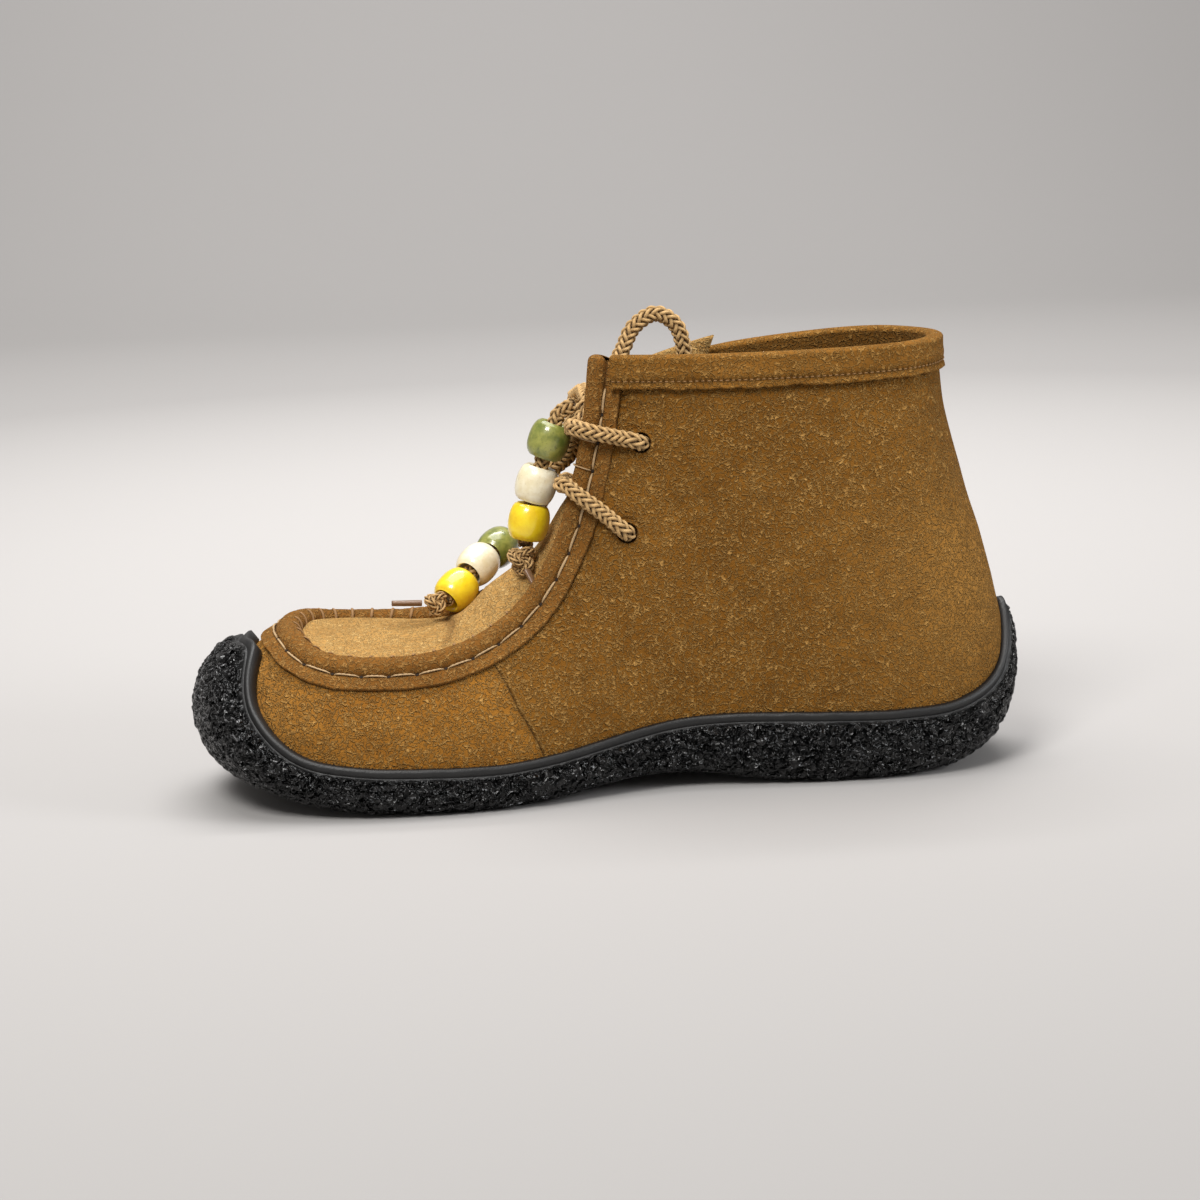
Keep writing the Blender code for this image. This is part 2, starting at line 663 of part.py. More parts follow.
def build_collar_band(finish, boot):
    start = CORNER + 0.26
    inside, skin = -WALL - GAP, BAND_SKIN
    ends = [start, start + 0.12, start + 0.24]
    marks = ends + places(CORNER + 1, RING - CORNER - 1) + [RING - mark for mark in reversed(ends)]
    sections = []
    for place in marks:
        over_flange = place < start + 0.2 or place > RING - start - 0.2
        out = GAP + (BINDING_SKIN + GAP if over_flange else 0.0)
        outline = [(COLLAR_BAND, out), (COLLAR_BAND / 2, out), (-GAP, out), (-GAP, inside)]
        outline += [(COLLAR_BAND * 0.85, inside), (COLLAR_BAND * 0.85, inside - skin)]
        outline += [(0.0, inside - skin), (-GAP - skin * 0.8, inside - skin * 0.3)]
        outline += [(-GAP - skin, -WALL / 2), (-GAP - skin * 0.8, out + skin * 0.3)]
        outline += [(0.0, out + skin), (COLLAR_BAND / 2, out + skin), (COLLAR_BAND, out + skin)]
        sections.append([edge_point(place, d, o) for d, o in outline])
    return loft("collar_band", sections, finish, boot)


def apron_edge(place, turn):
    """The middle of the apron's edge where it meets the roll."""
    top, along, down, out = edge_frame(place)
    centre = top + down * ROLL_INSET - out * ROLL_SINK
    angle = math.radians(turn)
    away = roll_radius(place) + 2 * GAP + TONGUE_THICKNESS / 2 * math.sin(angle)
    return centre - away * (down * math.cos(angle) + out * math.sin(angle))


def arched(near, far, middle_x, middle_z, roundness=2.0, count=9):
    """A row from edge to edge, arched through its middle."""
    centre = (near + far) / 2
    rise = np.array([middle_x - centre[0], 0.0, middle_z - centre[2]])
    row = []
    for i in range(count):
        share = 2 * i / (count - 1) - 1
        base = near * (1 - share) / 2 + far * (1 + share) / 2
        row.append(base + rise * (1 - share ** 2) ** (2 / roundness))
    return row


def build_apron_tongue(finish, boot):
    rows = []
    for row in APRON_ROWS:
        edges = [apron_edge(place, row.turn) for place in (row.place, -row.place)]
        middle = (row.centre_x * LAST_LENGTH, row.centre_z * COLLAR_HEIGHT)
        rows.append(arched(*edges, *middle, row.roundness))
    for row in TONGUE_ROWS:
        edges = []
        for side in (-1, 1):
            slack = max(side, 0)
            x = row.side_x * LAST_LENGTH + THROAT_LAG * slack
            z = row.side_z * (COLLAR_HEIGHT - COLLAR_DIP * slack)
            edge = wall(*wall_place(side, x, z), -TONGUE_DEPTH)
            edge[2] += row.lift * COLLAR_HEIGHT * slack
            edges.append(edge)
        middle = (row.centre_x * LAST_LENGTH, row.centre_z * COLLAR_HEIGHT)
        rows.append(arched(*edges, *middle, row.roundness))
    tongue = sheet("apron_tongue", rows, finish, boot)
    return smooth(thickened(face_outwards(tongue), TONGUE_THICKNESS, 0), 60)


# Lace

# How a bar stands off the wall between its eyelet and the edge, as (share of the way, lift).
BAR_LIFTS = [(0.15, 0.0003), (0.34, 0.0002), (0.54, 0.0016), (0.68, 0.0031), (0.84, 0.0037)]


def at(x, y, z):
    """A point in millimetres."""
    return np.array([x, y, z]) / 1000


def bar_over_roll(side, eyelet, crossing):
    """From inside an eyelet straight across the wall and over the roll, to the throat's inside."""
    place, climb = eyelet_place(side, eyelet)
    over = crossing if side < 0 else RING - crossing
    lie = LACE_DIAMETER / 2 + GAP
    hole, edge = wall(place, climb), edge_point(over, 0.0, 0.0)
    route = [wall(place, climb, -0.0012), wall(place, climb, 0.0014)]
    for share, lift in BAR_LIFTS:
        point = hole + (edge - hole) * share
        route.append(wall(*wall_place(side, point[0], point[2]), lie + lift))
    away = roll_radius(over) + LACE_DIAMETER / 2 + GAP
    for turn in (84, 125, 165):
        angle = math.radians(turn)
        down = ROLL_INSET + away * math.cos(angle)
        route.append(edge_point(over, min(down, 0.0), away * math.sin(angle) - ROLL_SINK))
    return route


def build_bars(finish, boot):
    lower, upper = EYELETS
    near, far = (bar_over_roll(side, lower, LOWER_CROSSING) for side in (-1, 1))
    middle = [at(-12.4, -7, 98.0), at(-12.0, 0, 97.8), at(-12.4, 7, 96.4)]
    cord("lace_lower_bar", smooth_route(near + middle + far[::-1]), LACE_DIAMETER, finish, boot)
    near, far = (bar_over_roll(side, upper, UPPER_CROSSING) for side in (-1, 1))
    cord("lace_upper_inner", smooth_route(near + [at(-9.9, -12.2, 116.0)]), LACE_DIAMETER, finish, boot)
    cord("lace_upper_outer", smooth_route(far + [at(-9.9, 12.2, 113.4)]), LACE_DIAMETER, finish, boot)


def build_bow(finish, boot):
    lump("lace_knot", at(-3.6, -8.6, 122.6), (0.0080, 0.0084, 0.0084), (0, 1, 0), finish, boot)
    standing = [
        at(0.0, -10.2, 127.5), at(1.4, -9.9, 131.4), at(4.2, -8.4, 135.8), at(7.6, -6, 141),
        at(11.4, -5, 148),
        at(18.6, -5, 152.2), at(25.2, -5, 148.2), at(27.6, -5, 140), at(27.6, -3, 132), at(23, 2, 128.6),
        at(14, 6, 130.4), at(7, 3.6, 134.4), at(1.4, -2.8, 134.4), at(-2.0, -5.6, 131.0),
        at(-2.9, -5.8, 127.4),
    ]
    cord("lace_loop_standing", smooth_route(standing), LACE_DIAMETER, finish, boot)
    lie = LACE_DIAMETER / 2 + 2 * GAP
    first = [at(-4.8, 0.4, 120.4), at(-5.6, 4.4, 119.6), at(-6.2, 9.0, 119.2)]
    first += [edge_point(RING - 11.26, -0.0030, 0.0063), edge_point(RING - 11.26, 0.0, 0.0077)]
    along = [(6, 119.6, 0.0040), (14, 119, 0.0030), (24, 114, 0.0006), (31, 106.5, 0.0004)]
    along += [(37.5, 104.5, 0.0004), (41, 109, 0.0004), (36, 116.5, 0.0016), (25, 123.5, 0.0030)]
    along += [(13, 125.5, 0.0036)]
    for x, z, lift in along:
        place, climb = wall_place(1, x / 1000, z / 1000)
        first.append(wall(place, climb, lie + lift))
    first += [edge_point(RING - 11.56, 0.0, 0.0086), edge_point(RING - 11.56, -0.0030, 0.0070)]
    first += [at(-4.4, 10.2, 126.4), at(-1.8, 9.6, 123.4)]
    cord("lace_loop_hanging", smooth_route(first), LACE_DIAMETER, finish, boot)


# Each end's beads as a centre and the direction the cord runs through, then its route from the knot.
END_BEADS = {
    "inner": [
        (at(-17.4, -6.8, 112.9), at(-4, 0, -10)), (at(-22.0, -6.8, 98.8), at(-4, 0, -12)),
        (at(-24.9, -6.8, 86.6), at(-2, -0.2, -10)),
    ],
    "outer": [
        (at(-33.2, 36.0, 70.8), at(-5.4, -7.8, -2.8)), (at(-40.6, 25.0, 67.4), at(-5.7, -6.4, -4.0)),
        (at(-48.4, 18.0, 60.4), at(-6.1, -5.6, -4.6)),
    ],
}
END_ROUTES = {
    "inner": [at(-8.8, -9.0, 124.6), at(-11.0, -8.2, 123.4), at(-13.8, -6.8, 121.4)],
    "outer": [
        at(-7.8, -3.6, 117.2), at(-7.9, 1.8, 112.6), at(-9.8, 7.2, 105.6), at(-15.9, 12.7, 99.2),
        at(-18.0, 20.5, 90.0), at(-20.5, 31, 83), at(-24.0, 39, 77.5), at(-27.4, 42.6, 73.8),
    ],
}
END_KNOTS = {"inner": at(-27.8, -10.0, 74.7), "outer": at(-55.7, 9.3, 58.0)}
AGLETS = {
    "inner": (at(-26.6, -13.6, 71.8), at(-24.6, -16.6, 67.6)),
    "outer": (at(-60.5, 8.9, 58.3), at(-70.4, 8.4, 58.8)),
}


def build_ends(finish, tip, glazes, boot):
    for side, beads in END_BEADS.items():
        route = list(END_ROUTES[side])
        for colour, (centre, axis) in zip(("green", "cream", "yellow"), beads):
            axis = axis / np.linalg.norm(axis)
            bead(f"bead_{side}_{colour}", centre, axis, glazes[colour], boot)
            route += [centre - axis * BEAD_LENGTH * 0.42, centre + axis * BEAD_LENGTH * 0.42]
        last = END_KNOTS[side] - route[-1]
        reach = np.linalg.norm(last)
        route.append(route[-1] + last * (1 - (END_KNOT / 2 + 1.5 * GAP) / reach))
        cord(f"lace_end_{side}", smooth_route(route), LACE_DIAMETER, finish, boot)
        lump(f"end_knot_{side}", END_KNOTS[side], (END_KNOT, END_KNOT, END_KNOT), last, finish, boot)
        cord(f"aglet_{side}", list(AGLETS[side]), AGLET_DIAMETER, tip, boot)


def main():
    for thing in list(bpy.data.objects):
        bpy.data.objects.remove(thing)
    boot = bpy.data.collections.new("mukluk_boot")
    tools = bpy.data.collections.new("cutters")
    for collection in (boot, tools):
        bpy.context.scene.collection.children.link(collection)
    suede = material("suede", (0.35, 0.19, 0.07), 0.95)
    edging = material("suede_edging", (0.33, 0.18, 0.07), 0.95)
    plug = material("suede_apron", (0.42, 0.25, 0.11), 0.95)
    rubber = material("black_rubber", (0.012, 0.012, 0.013), 0.6)
    lining = material("lining", (0.30, 0.20, 0.11), 0.95)
    build_outsole(rubber, boot)
    build_insole(lining, boot)
    build_upper(suede, boot, tools)
    build_binding(edging, boot)
    build_collar_band(edging, boot)
    build_apron_tongue(plug, boot)
    braid = material("braided_lace", (0.50, 0.36, 0.19), 0.9)
    tip = material("aglet_resin", (0.16, 0.08, 0.04), 0.4)
    glazes = {
        "green": material("green_glaze", (0.18, 0.25, 0.07), 0.2),
        "cream": material("cream_glaze", (0.80, 0.74, 0.58), 0.25),
        "yellow": material("yellow_glaze", (0.85, 0.65, 0.02), 0.2),
    }
    build_bars(braid, boot)
    build_bow(braid, boot)
    build_ends(braid, tip, glazes, boot)


main()
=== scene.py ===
import json
import math

import bmesh
import bpy
import numpy as np
from mathutils import Matrix, Vector

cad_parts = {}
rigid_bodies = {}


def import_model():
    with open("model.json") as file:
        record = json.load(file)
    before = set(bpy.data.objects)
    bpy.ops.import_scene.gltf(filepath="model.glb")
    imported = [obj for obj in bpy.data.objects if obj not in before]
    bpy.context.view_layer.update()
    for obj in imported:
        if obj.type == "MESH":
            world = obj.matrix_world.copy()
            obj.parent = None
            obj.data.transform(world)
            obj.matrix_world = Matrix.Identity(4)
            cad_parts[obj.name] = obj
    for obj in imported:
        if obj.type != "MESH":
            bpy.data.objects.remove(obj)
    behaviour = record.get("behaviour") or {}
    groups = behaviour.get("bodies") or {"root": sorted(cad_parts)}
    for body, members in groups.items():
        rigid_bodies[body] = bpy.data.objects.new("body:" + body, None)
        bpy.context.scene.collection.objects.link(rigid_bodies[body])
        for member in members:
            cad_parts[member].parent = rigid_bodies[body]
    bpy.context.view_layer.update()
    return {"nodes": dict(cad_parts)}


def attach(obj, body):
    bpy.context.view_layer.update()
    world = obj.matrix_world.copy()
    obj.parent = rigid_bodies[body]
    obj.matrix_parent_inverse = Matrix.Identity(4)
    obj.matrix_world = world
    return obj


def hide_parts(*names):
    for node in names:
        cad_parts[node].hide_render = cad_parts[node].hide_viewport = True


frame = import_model()
for thing in list(bpy.data.objects):
    if thing.name in ("Cube", "Light", "Camera"):
        bpy.data.objects.remove(thing)
print("frame loaded")

# camera: at the photo's angle, rolled a little clockwise
viewSettings = {
    "target": (-0.002, 0.0, 0.058), "distance": 0.95, "elevation": 11.3, "yaw": 5.0, "roll": 2.0,
    "lens": 86.36, "sensor": 36.0,
}


def placeCamera(s):
    lift, turn, roll = (math.radians(s[k]) for k in ("elevation", "yaw", "roll"))
    back = Vector((-math.sin(turn) * math.cos(lift), -math.cos(turn) * math.cos(lift), math.sin(lift)))
    right = (-back).cross(Vector((0, 0, 1))).normalized()
    up = right.cross(-back)
    across = right * math.cos(roll) - up * math.sin(roll)
    upright = right * math.sin(roll) + up * math.cos(roll)
    data = bpy.data.cameras.new("camera")
    data.lens, data.sensor_width = s["lens"], s["sensor"]
    data.clip_start, data.clip_end = 0.05, 20
    camera = bpy.data.objects.new("camera", data)
    bpy.context.scene.collection.objects.link(camera)
    turned = Matrix((across, upright, back)).transposed().to_4x4()
    camera.matrix_world = Matrix.Translation(Vector(s["target"]) + back * s["distance"]) @ turned
    bpy.context.scene.camera = camera


placeCamera(viewSettings)
bpy.context.scene.view_settings.view_transform = "Standard"
print("camera placed")


# shader nodes: Field wraps a socket so that sums and products of it read as plain maths
class Field:
    def __init__(self, socket):
        self.socket = socket
        self.tree = socket.id_data

    def maths(self, operation, *values):
        node = self.tree.nodes.new("ShaderNodeMath")
        node.operation = operation
        for slot, value in zip(node.inputs, values):
            put(value, slot)
        return Field(node.outputs[0])

    def __add__(self, other):
        return self.maths("ADD", self, other)

    def __radd__(self, other):
        return self.maths("ADD", other, self)

    def __sub__(self, other):
        return self.maths("SUBTRACT", self, other)

    def __rsub__(self, other):
        return self.maths("SUBTRACT", other, self)

    def __mul__(self, other):
        return self.maths("MULTIPLY", self, other)

    def __rmul__(self, other):
        return self.maths("MULTIPLY", other, self)

    def __truediv__(self, other):
        return self.maths("DIVIDE", self, other)

    def __abs__(self):
        return self.maths("ABSOLUTE", self)

    def clamp(self):
        return self.maths("MINIMUM", self.maths("MAXIMUM", self, 0.0), 1.0)

    def rise(self, low, high):
        # 0 below low, 1 above high, straight between
        return ((self - low) / (high - low)).clamp()


def put(value, socket):
    # a field is linked to the socket, anything else becomes its value
    if isinstance(value, Field):
        value.tree.links.new(value.socket, socket)
    else:
        socket.default_value = value


class Finish:
    def __init__(self, name):
        self.material = bpy.data.materials.new(name)
        self.material.use_nodes = True
        self.tree = self.material.node_tree
        self.shader = self.tree.nodes["Principled BSDF"]

    def node(self, kind, settings, *values, **named):
        # values go to the node's inputs in their order, named ones by name
        made = self.tree.nodes.new(kind)
        for key, value in settings.items():
            setattr(made, key, value)
        for value, socket in zip(values, made.inputs):
            put(value, socket)
        for key, value in named.items():
            put(value, made.inputs[key.replace("_", " ")])
        return made

    def place(self):
        return Field(self.node("ShaderNodeTexCoord", {}).outputs["Object"])

    def noise(self, size, detail, roughness=0.5, distortion=0.0, where=None, output="Fac"):
        made = self.node(
            "ShaderNodeTexNoise", {"noise_dimensions": "3D"}, Vector=where or self.place(),
            Scale=1.0 / size, Detail=detail, Roughness=roughness, Distortion=distortion,
        )
        return Field(made.outputs[output])

    def vector(self, operation, *values, output="Vector", **named):
        made = self.node("ShaderNodeVectorMath", {"operation": operation}, *values, **named)
        return Field(made.outputs[output])

    def bent(self, size, reach):
        # the place, shifted by a noise so that what is drawn there wanders
        where = self.place()
        shift = self.noise(size, 2.0, where=where, output="Color")
        return self.vector("ADD", where, self.vector("SCALE", shift, Scale=reach))

    def value(self, name):
        return Field(self.node("ShaderNodeAttribute", {"attribute_name": name}).outputs["Fac"])

    def colours(self, share, first, second):
        # a colour between two, by a share that varies
        made = self.node("ShaderNodeMix", {"data_type": "RGBA"}, share)
        for socket, colour in ((made.inputs[6], first), (made.inputs[7], second)):
            put(colour if isinstance(colour, Field) else (*colour, 1.0), socket)
        return Field(made.outputs[2])

    def feed(self, **values):
        for key, value in values.items():
            put(value, self.shader.inputs[key.replace("_", " ")])

    def bump(self, height, distance):
        made = self.node("ShaderNodeBump", {}, Height=height, Distance=distance, Strength=1.0)
        put(Field(made.outputs["Normal"]), self.shader.inputs["Normal"])


# the last: shares of these sizes, as the solids have them
last = {
    "length": 0.259, "ballWidth": 0.090, "toeSeam": 0.047, "collar": 0.140, "collarDip": 0.007,
    "throatLag": 0.004, "wall": 0.002, "gap": 0.0004, "foreFloor": 0.0105, "heelFloor": 0.0185,
    "toeSpring": 0.0095,
}
topWidths = {"apron": 0.063, "throat": 0.032, "collar": 0.065}

# footX footIn footOut heel spring, topX topIn topOut across rise slack, low bulge shoulder swell drop
lastRows = [
    (-.498, .03, -.03, 0, 1, -.4, .035, -.035, "apron", .072, 0, .5, .02, .52, 0, .03),
    (-.485, .195, .14, 0, .93, -.393, .21, .15, "apron", .06, -.2, .5, .02, .52, 0, .03),
    (-.448, .342, .29, 0, .75, -.376, .352, .31, "apron", .027, -.5, .5, .02, .52, 0, .06),
    (-.394, .44, .408, 0, .5, -.348, .445, .43, "apron", .006, -.5, .5, .022, .56, 0, .12),
    (-.324, .492, .482, 0, .22, -.301, .49, .49, "apron", -.004, -.45, .5, .024, .6, 0, .18),
    (-.239, .503, .515, 0, .05, -.239, .5, .508, "apron", .001, -.3, .5, .026, .6, .004, .18),
    (-.154, .483, .52, .05, 0, -.178, .468, .484, "apron", .043, -.15, .48, .028, .58, .014, .18),
    (-.085, .44, .498, .18, 0, -.127, .413, .428, "apron", .123, 0, .46, .032, .56, .03, .16),
    (-.027, .392, .458, .42, 0, -.089, .725, .75, "throat", .237, .2, .44, .038, .54, .05, .13),
    (.023, .355, .42, .7, 0, -.058, .64, .66, "throat", .387, .5, .44, .044, .54, .07, .1),
    (.07, .335, .39, .92, 0, -.037, .562, .562, "throat", .558, .8, .44, .05, .52, .08, .1),
    (.116, .332, .375, 1.02, 0, -.02, .515, .515, "throat", .76, 1, .42, .054, .44, .08, .14),
    (.158, .34, .37, 1.04, 0, -.009, .484, .484, "throat", .99, 1, .38, .056, .34, .07, .26),
    (.208, .352, .368, 1.02, 0, .077, .4, .4, "collar", .992, .9, .34, .058, .28, .03, .36),
    (.272, .366, .37, 1, 0, .185, .485, .485, "collar", .994, .4, .33, .056, .2, .01, .38),
    (.352, .362, .36, 1, 0, .297, .492, .492, "collar", .998, .1, .32, .062, .1, 0, .38),
    (.43, .312, .308, 1, 0, .369, .423, .423, "collar", 1.002, 0, .31, .085, .05, 0, .38),
    (.482, .188, .185, 1.02, 0, .413, .246, .246, "collar", 1.004, 0, .3, .106, 0, -.006, .37),
    (.5, 0, 0, 1.05, 0, .4305, 0, 0, "collar", 1.006, 0, .3, .12, 0, -.011, .37),
]
ring = 2 * (len(lastRows) - 1)
corner = 12  # the row where the throat's edge turns into the collar


def bothSides(inner, outer):
    return np.array(list(inner) + list(outer)[len(lastRows) - 2:0:-1])


def footOf(row, side):
    floor = last["foreFloor"] + (last["heelFloor"] - last["foreFloor"]) * row[3] + last["toeSpring"] * row[4]
    across = -row[1] if side < 0 else row[2]
    return last["length"] * row[0], last["ballWidth"] * across, floor + last["gap"]


def topOf(row, side):
    slack = row[10] if side > 0 else 0.0
    across = -row[6] if side < 0 else row[7]
    rise = last["toeSeam"] + (last["collar"] - last["toeSeam"]) * row[9]
    lag = last["throatLag"] * max(slack, 0.0)
    return last["length"] * row[5] + lag, topWidths[row[8]] * across, rise - last["collarDip"] * slack


feet = bothSides([footOf(r, -1) for r in lastRows], [footOf(r, 1) for r in lastRows])
tops = bothSides([topOf(r, -1) for r in lastRows], [topOf(r, 1) for r in lastRows])
shapes = bothSides([r[11:] for r in lastRows], [r[11:] for r in lastRows])


def hermite(way, start, end, leave, arrive):
    # a curve from start to end with the slopes given there
    s2, s3 = way ** 2, way ** 3
    return (2 * s3 - 3 * s2 + 1) * start + (s3 - 2 * s2 + way) * leave + (3 * s2 - 2 * s3) * end + (s3 - s2) * arrive


def bezier(way, start, first, second, end):
    back = 1 - way
    return back ** 3 * start + 3 * back ** 2 * way * first + 3 * back * way ** 2 * second + way ** 3 * end


def between(values, place, corners=()):
    # a smooth value at any place round the ring of rows
    place = np.asarray(place, float) % ring
    index = np.floor(place).astype(int)
    way = (place - index)[..., None]
    before, start, end, after = (values[(index + k) % ring] for k in (-1, 0, 1, 2))
    leave, arrive = (end - before) / 2, (after - start) / 2
    for c in corners:
        leave = np.where((index == c)[..., None], end - start, leave)
        arrive = np.where(((index + 1) % ring == c)[..., None], end - start, arrive)
    return hermite(way, start, end, leave, arrive)


def unit(v):
    return v / np.linalg.norm(v, axis=-1, keepdims=True)


def levelOut(place):
    along = between(feet, place + 0.02) - between(feet, place - 0.02)
    return unit(np.stack([along[..., 1], -along[..., 0], np.zeros_like(along[..., 0])], -1))


def face(place, climb):
    # the wall's outer face: climb runs from 0 at the foot to 1 at the top edge
    place, climb = np.broadcast_arrays(np.asarray(place, float), np.asarray(climb, float))
    place = np.round(place % ring, 5)
    foot, top = between(feet, place), between(tops, place, (corner, ring - corner))
    shape = between(shapes, place)
    low, bulge, shoulder, swell, drop = (shape[..., i, None] for i in range(5))
    out = levelOut(place)
    up = np.zeros_like(foot)
    up[..., 2] = (top - foot)[..., 2]
    inset = (foot - top) * (1.0, 1.0, 0.0)
    first = foot + up * low + out * bulge * last["ballWidth"]
    second = top + inset * shoulder - up * drop + out * swell * last["ballWidth"]
    return bezier(climb[..., None], foot, first, second, top)


def outward(place, climb):
    place, climb = np.broadcast_arrays(np.asarray(place, float) % ring, np.asarray(climb, float))
    before, after = place - 0.03, place + 0.03
    before = np.where(abs(place - corner) < 0.03, place, before)
    after = np.where(abs(place - ring + corner) < 0.03, place, after)
    along = face(after, climb) - face(before, climb)
    rising = face(place, np.minimum(1, climb + 0.02)) - face(place, np.maximum(0, climb - 0.02))
    return unit(np.cross(along, rising))


def wallPoint(place, climb, offset=0.0):
    offset = np.asarray(offset, float)
    return face(place, climb) + outward(place, climb) * offset[..., None]


def solve(errors, place, climb):
    # Newton's steps for many points at once
    place, climb = place.copy(), climb.copy()
    for _ in range(9):
        e = errors(place, climb)
        ep = (errors(place + 0.01, climb) - e) / 0.01
        ec = (errors(place, climb - 0.005) - e) / -0.005
        det = ep[..., 0] * ec[..., 1] - ep[..., 1] * ec[..., 0]
        det = np.where(abs(det) < 1e-12, 1e-12, det)
        dp = (-e[..., 0] * ec[..., 1] + e[..., 1] * ec[..., 0]) / det
        dc = (-e[..., 1] * ep[..., 0] + e[..., 0] * ep[..., 1]) / det
        place += np.clip(dp, -0.4, 0.4)
        climb = np.clip(climb + np.clip(dc, -0.1, 0.1), 0.0, 1.0)
    return place, climb


def edgeFrame(place, limits):
    # at a place of the top edge: its point, along it, down the wall, and out
    before, after = np.maximum(place - 0.03, limits[0]), np.minimum(place + 0.03, limits[1])
    along = unit(face(after, 1.0) - face(before, 1.0))
    inside = np.clip(place, limits[0] + 0.031, limits[1] - 0.031)
    out = outward(inside, 0.995)
    return face(place, 1.0), along, unit(np.cross(along, out)), out


throatSpan, collarSpan = (-corner, corner), (corner, ring - corner)


def edgePoint(place, distance, offset, limits=throatSpan):
    # down the wall across its top edge, or past the edge where distance is negative
    place, distance, offset = np.broadcast_arrays(*(np.asarray(v, float) for v in (place, distance, offset)))
    top, along, down, out = edgeFrame(place, limits)
    past = top + down * distance[..., None] + out * offset[..., None]

    def errors(p, c):
        away = face(p, c) - top
        return np.stack([(away * along).sum(-1), np.linalg.norm(away, axis=-1) - np.maximum(distance, 1e-6)], -1)

    p, c = solve(errors, place, np.full(place.shape, 0.94))
    on = wallPoint(p, c, offset)
    return np.where((distance > 0)[..., None], on, past)


def grain(points, size, seed=1):
    # smooth random heights between about -0.6 and 0.6
    p = points / size + seed * 13.7
    base = np.floor(p).astype(np.int64)
    f = p - base
    u = f * f * f * (f * (f * 6 - 15) + 10)
    total = 0.0
    for dx in (0, 1):
        for dy in (0, 1):
            for dz in (0, 1):
                i = base + (dx, dy, dz)
                h = (i[..., 0] * 73856093) ^ (i[..., 1] * 19349663) ^ (i[..., 2] * 83492791) ^ (seed * 974711)
                h = ((h & 0x7FFFFFFF) * 1103515245 + 12345) & 0x7FFFFFFF
                h = ((h ^ (h >> 15)) * 48271) & 0x7FFFFFFF
                g = np.stack([(h >> k) & 1023 for k in (0, 10, 20)], -1) / 511.5 - 1
                dot = (g * (f - (dx, dy, dz))).sum(-1)
                w = [u[..., k] if d else 1 - u[..., k] for k, d in enumerate((dx, dy, dz))]
                total = total + dot * w[0] * w[1] * w[2]
    return total


# meshes
def meshOf(name, points, faces, finish):
    mesh = bpy.data.meshes.new(name)
    points = np.asarray(points, float).reshape(-1, 3)
    if isinstance(faces, np.ndarray):
        width = faces.shape[1]
        mesh.vertices.add(len(points))
        mesh.vertices.foreach_set("co", points.ravel())
        mesh.loops.add(faces.size)
        mesh.loops.foreach_set("vertex_index", faces.ravel().astype(np.int32))
        mesh.polygons.add(len(faces))
        mesh.polygons.foreach_set("loop_start", np.arange(0, faces.size, width, dtype=np.int32))
        mesh.update(calc_edges=True)
        mesh.validate()
    else:
        mesh.from_pydata(points.tolist(), [], faces)
    mesh.shade_smooth()
    mesh.materials.append(finish.material)
    piece = bpy.data.objects.new(name, mesh)
    bpy.context.scene.collection.objects.link(piece)
    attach(piece, "root")
    return piece


def setValue(piece, name, values):
    made = piece.data.attributes.new(name, "FLOAT", "POINT")
    made.data.foreach_set("value", np.asarray(values, np.float32).ravel())


def gridFaces(rows, columns, closeRows=False, closeColumns=False, start=0):
    r = np.arange(rows if closeRows else rows - 1)[:, None]
    c = np.arange(columns if closeColumns else columns - 1)[None, :]
    r2, c2 = (r + 1) % rows, (c + 1) % columns
    quads = np.stack([r * columns + c, r2 * columns + c, r2 * columns + c2, r * columns + c2], -1)
    return quads.reshape(-1, 4) + start


def arcLength(points):
    steps = np.linalg.norm(np.diff(points, axis=0), axis=1)
    return np.concatenate([[0], np.cumsum(steps)])


# lines and what runs along them
def smoothLine(points, step=0.0008):
    points = np.array(points, float)
    padded = np.vstack([2 * points[0] - points[1], points, 2 * points[-1] - points[-2]])
    found = []
    for before, start, end, after in zip(padded, padded[1:], padded[2:], padded[3:]):
        count = max(2, int(np.linalg.norm(end - start) / step))
        way = np.linspace(0, 1, count, endpoint=False)[:, None]
        found.append(hermite(way, start, end, (end - before) / 2, (after - start) / 2))
    return np.vstack([*found, points[-1:]])


def evenly(points, step):
    s = arcLength(points)
    marks = np.linspace(0, s[-1], max(4, int(s[-1] / step)))
    return np.stack([np.interp(marks, s, points[:, k]) for k in range(3)], -1)


def framesAlong(path):
    # directions across a path that don't twist
    tangents = unit(np.gradient(path, axis=0))
    side = np.cross(tangents[0], (0.3, 0.2, 1.0))
    sides = []
    for t in tangents:
        side = side - t * (side @ t)
        side = side / np.linalg.norm(side)
        sides.append(side)
    sides = np.array(sides)
    return tangents, sides, np.cross(tangents, sides)


def sweep(path, outline):
    # an outline of (across, up) points, one for all or one for each, carried along a path
    _, across, upright = framesAlong(path)
    if outline.ndim == 2:
        outline = np.repeat(outline[None], len(path), 0)
    return path[:, None] + across[:, None] * outline[..., :1] + upright[:, None] * outline[..., 1:]


def tubeFaces(count, around, start=0):
    # the side and both end faces of a tube of count rings
    first, final = (list(range(at, at + around)) for at in (start, start + (count - 1) * around))
    return gridFaces(count, around, False, True, start).tolist() + [first[::-1], final]


def circle(count):
    turn = np.linspace(0, 2 * math.pi, count, endpoint=False)
    return np.stack([np.cos(turn), np.sin(turn)], -1)


braidLook = {
    "strandsEachWay": 6, "strandWidth": 0.00122, "strandThickness": 0.00100, "lay": 0.0150, "weave": 0.00042,
    "core": 0.0014, "coreSides": 8, "step": 0.00042, "forDiameter": 0.0055,
}
# a strand's section in shares of its half width and half thickness, flat side to the core
strandSection = np.array([(-1, -0.15), (-0.55, 0.8), (0.0, 1.0), (0.55, 0.8), (1, -0.15), (0, -0.7)])


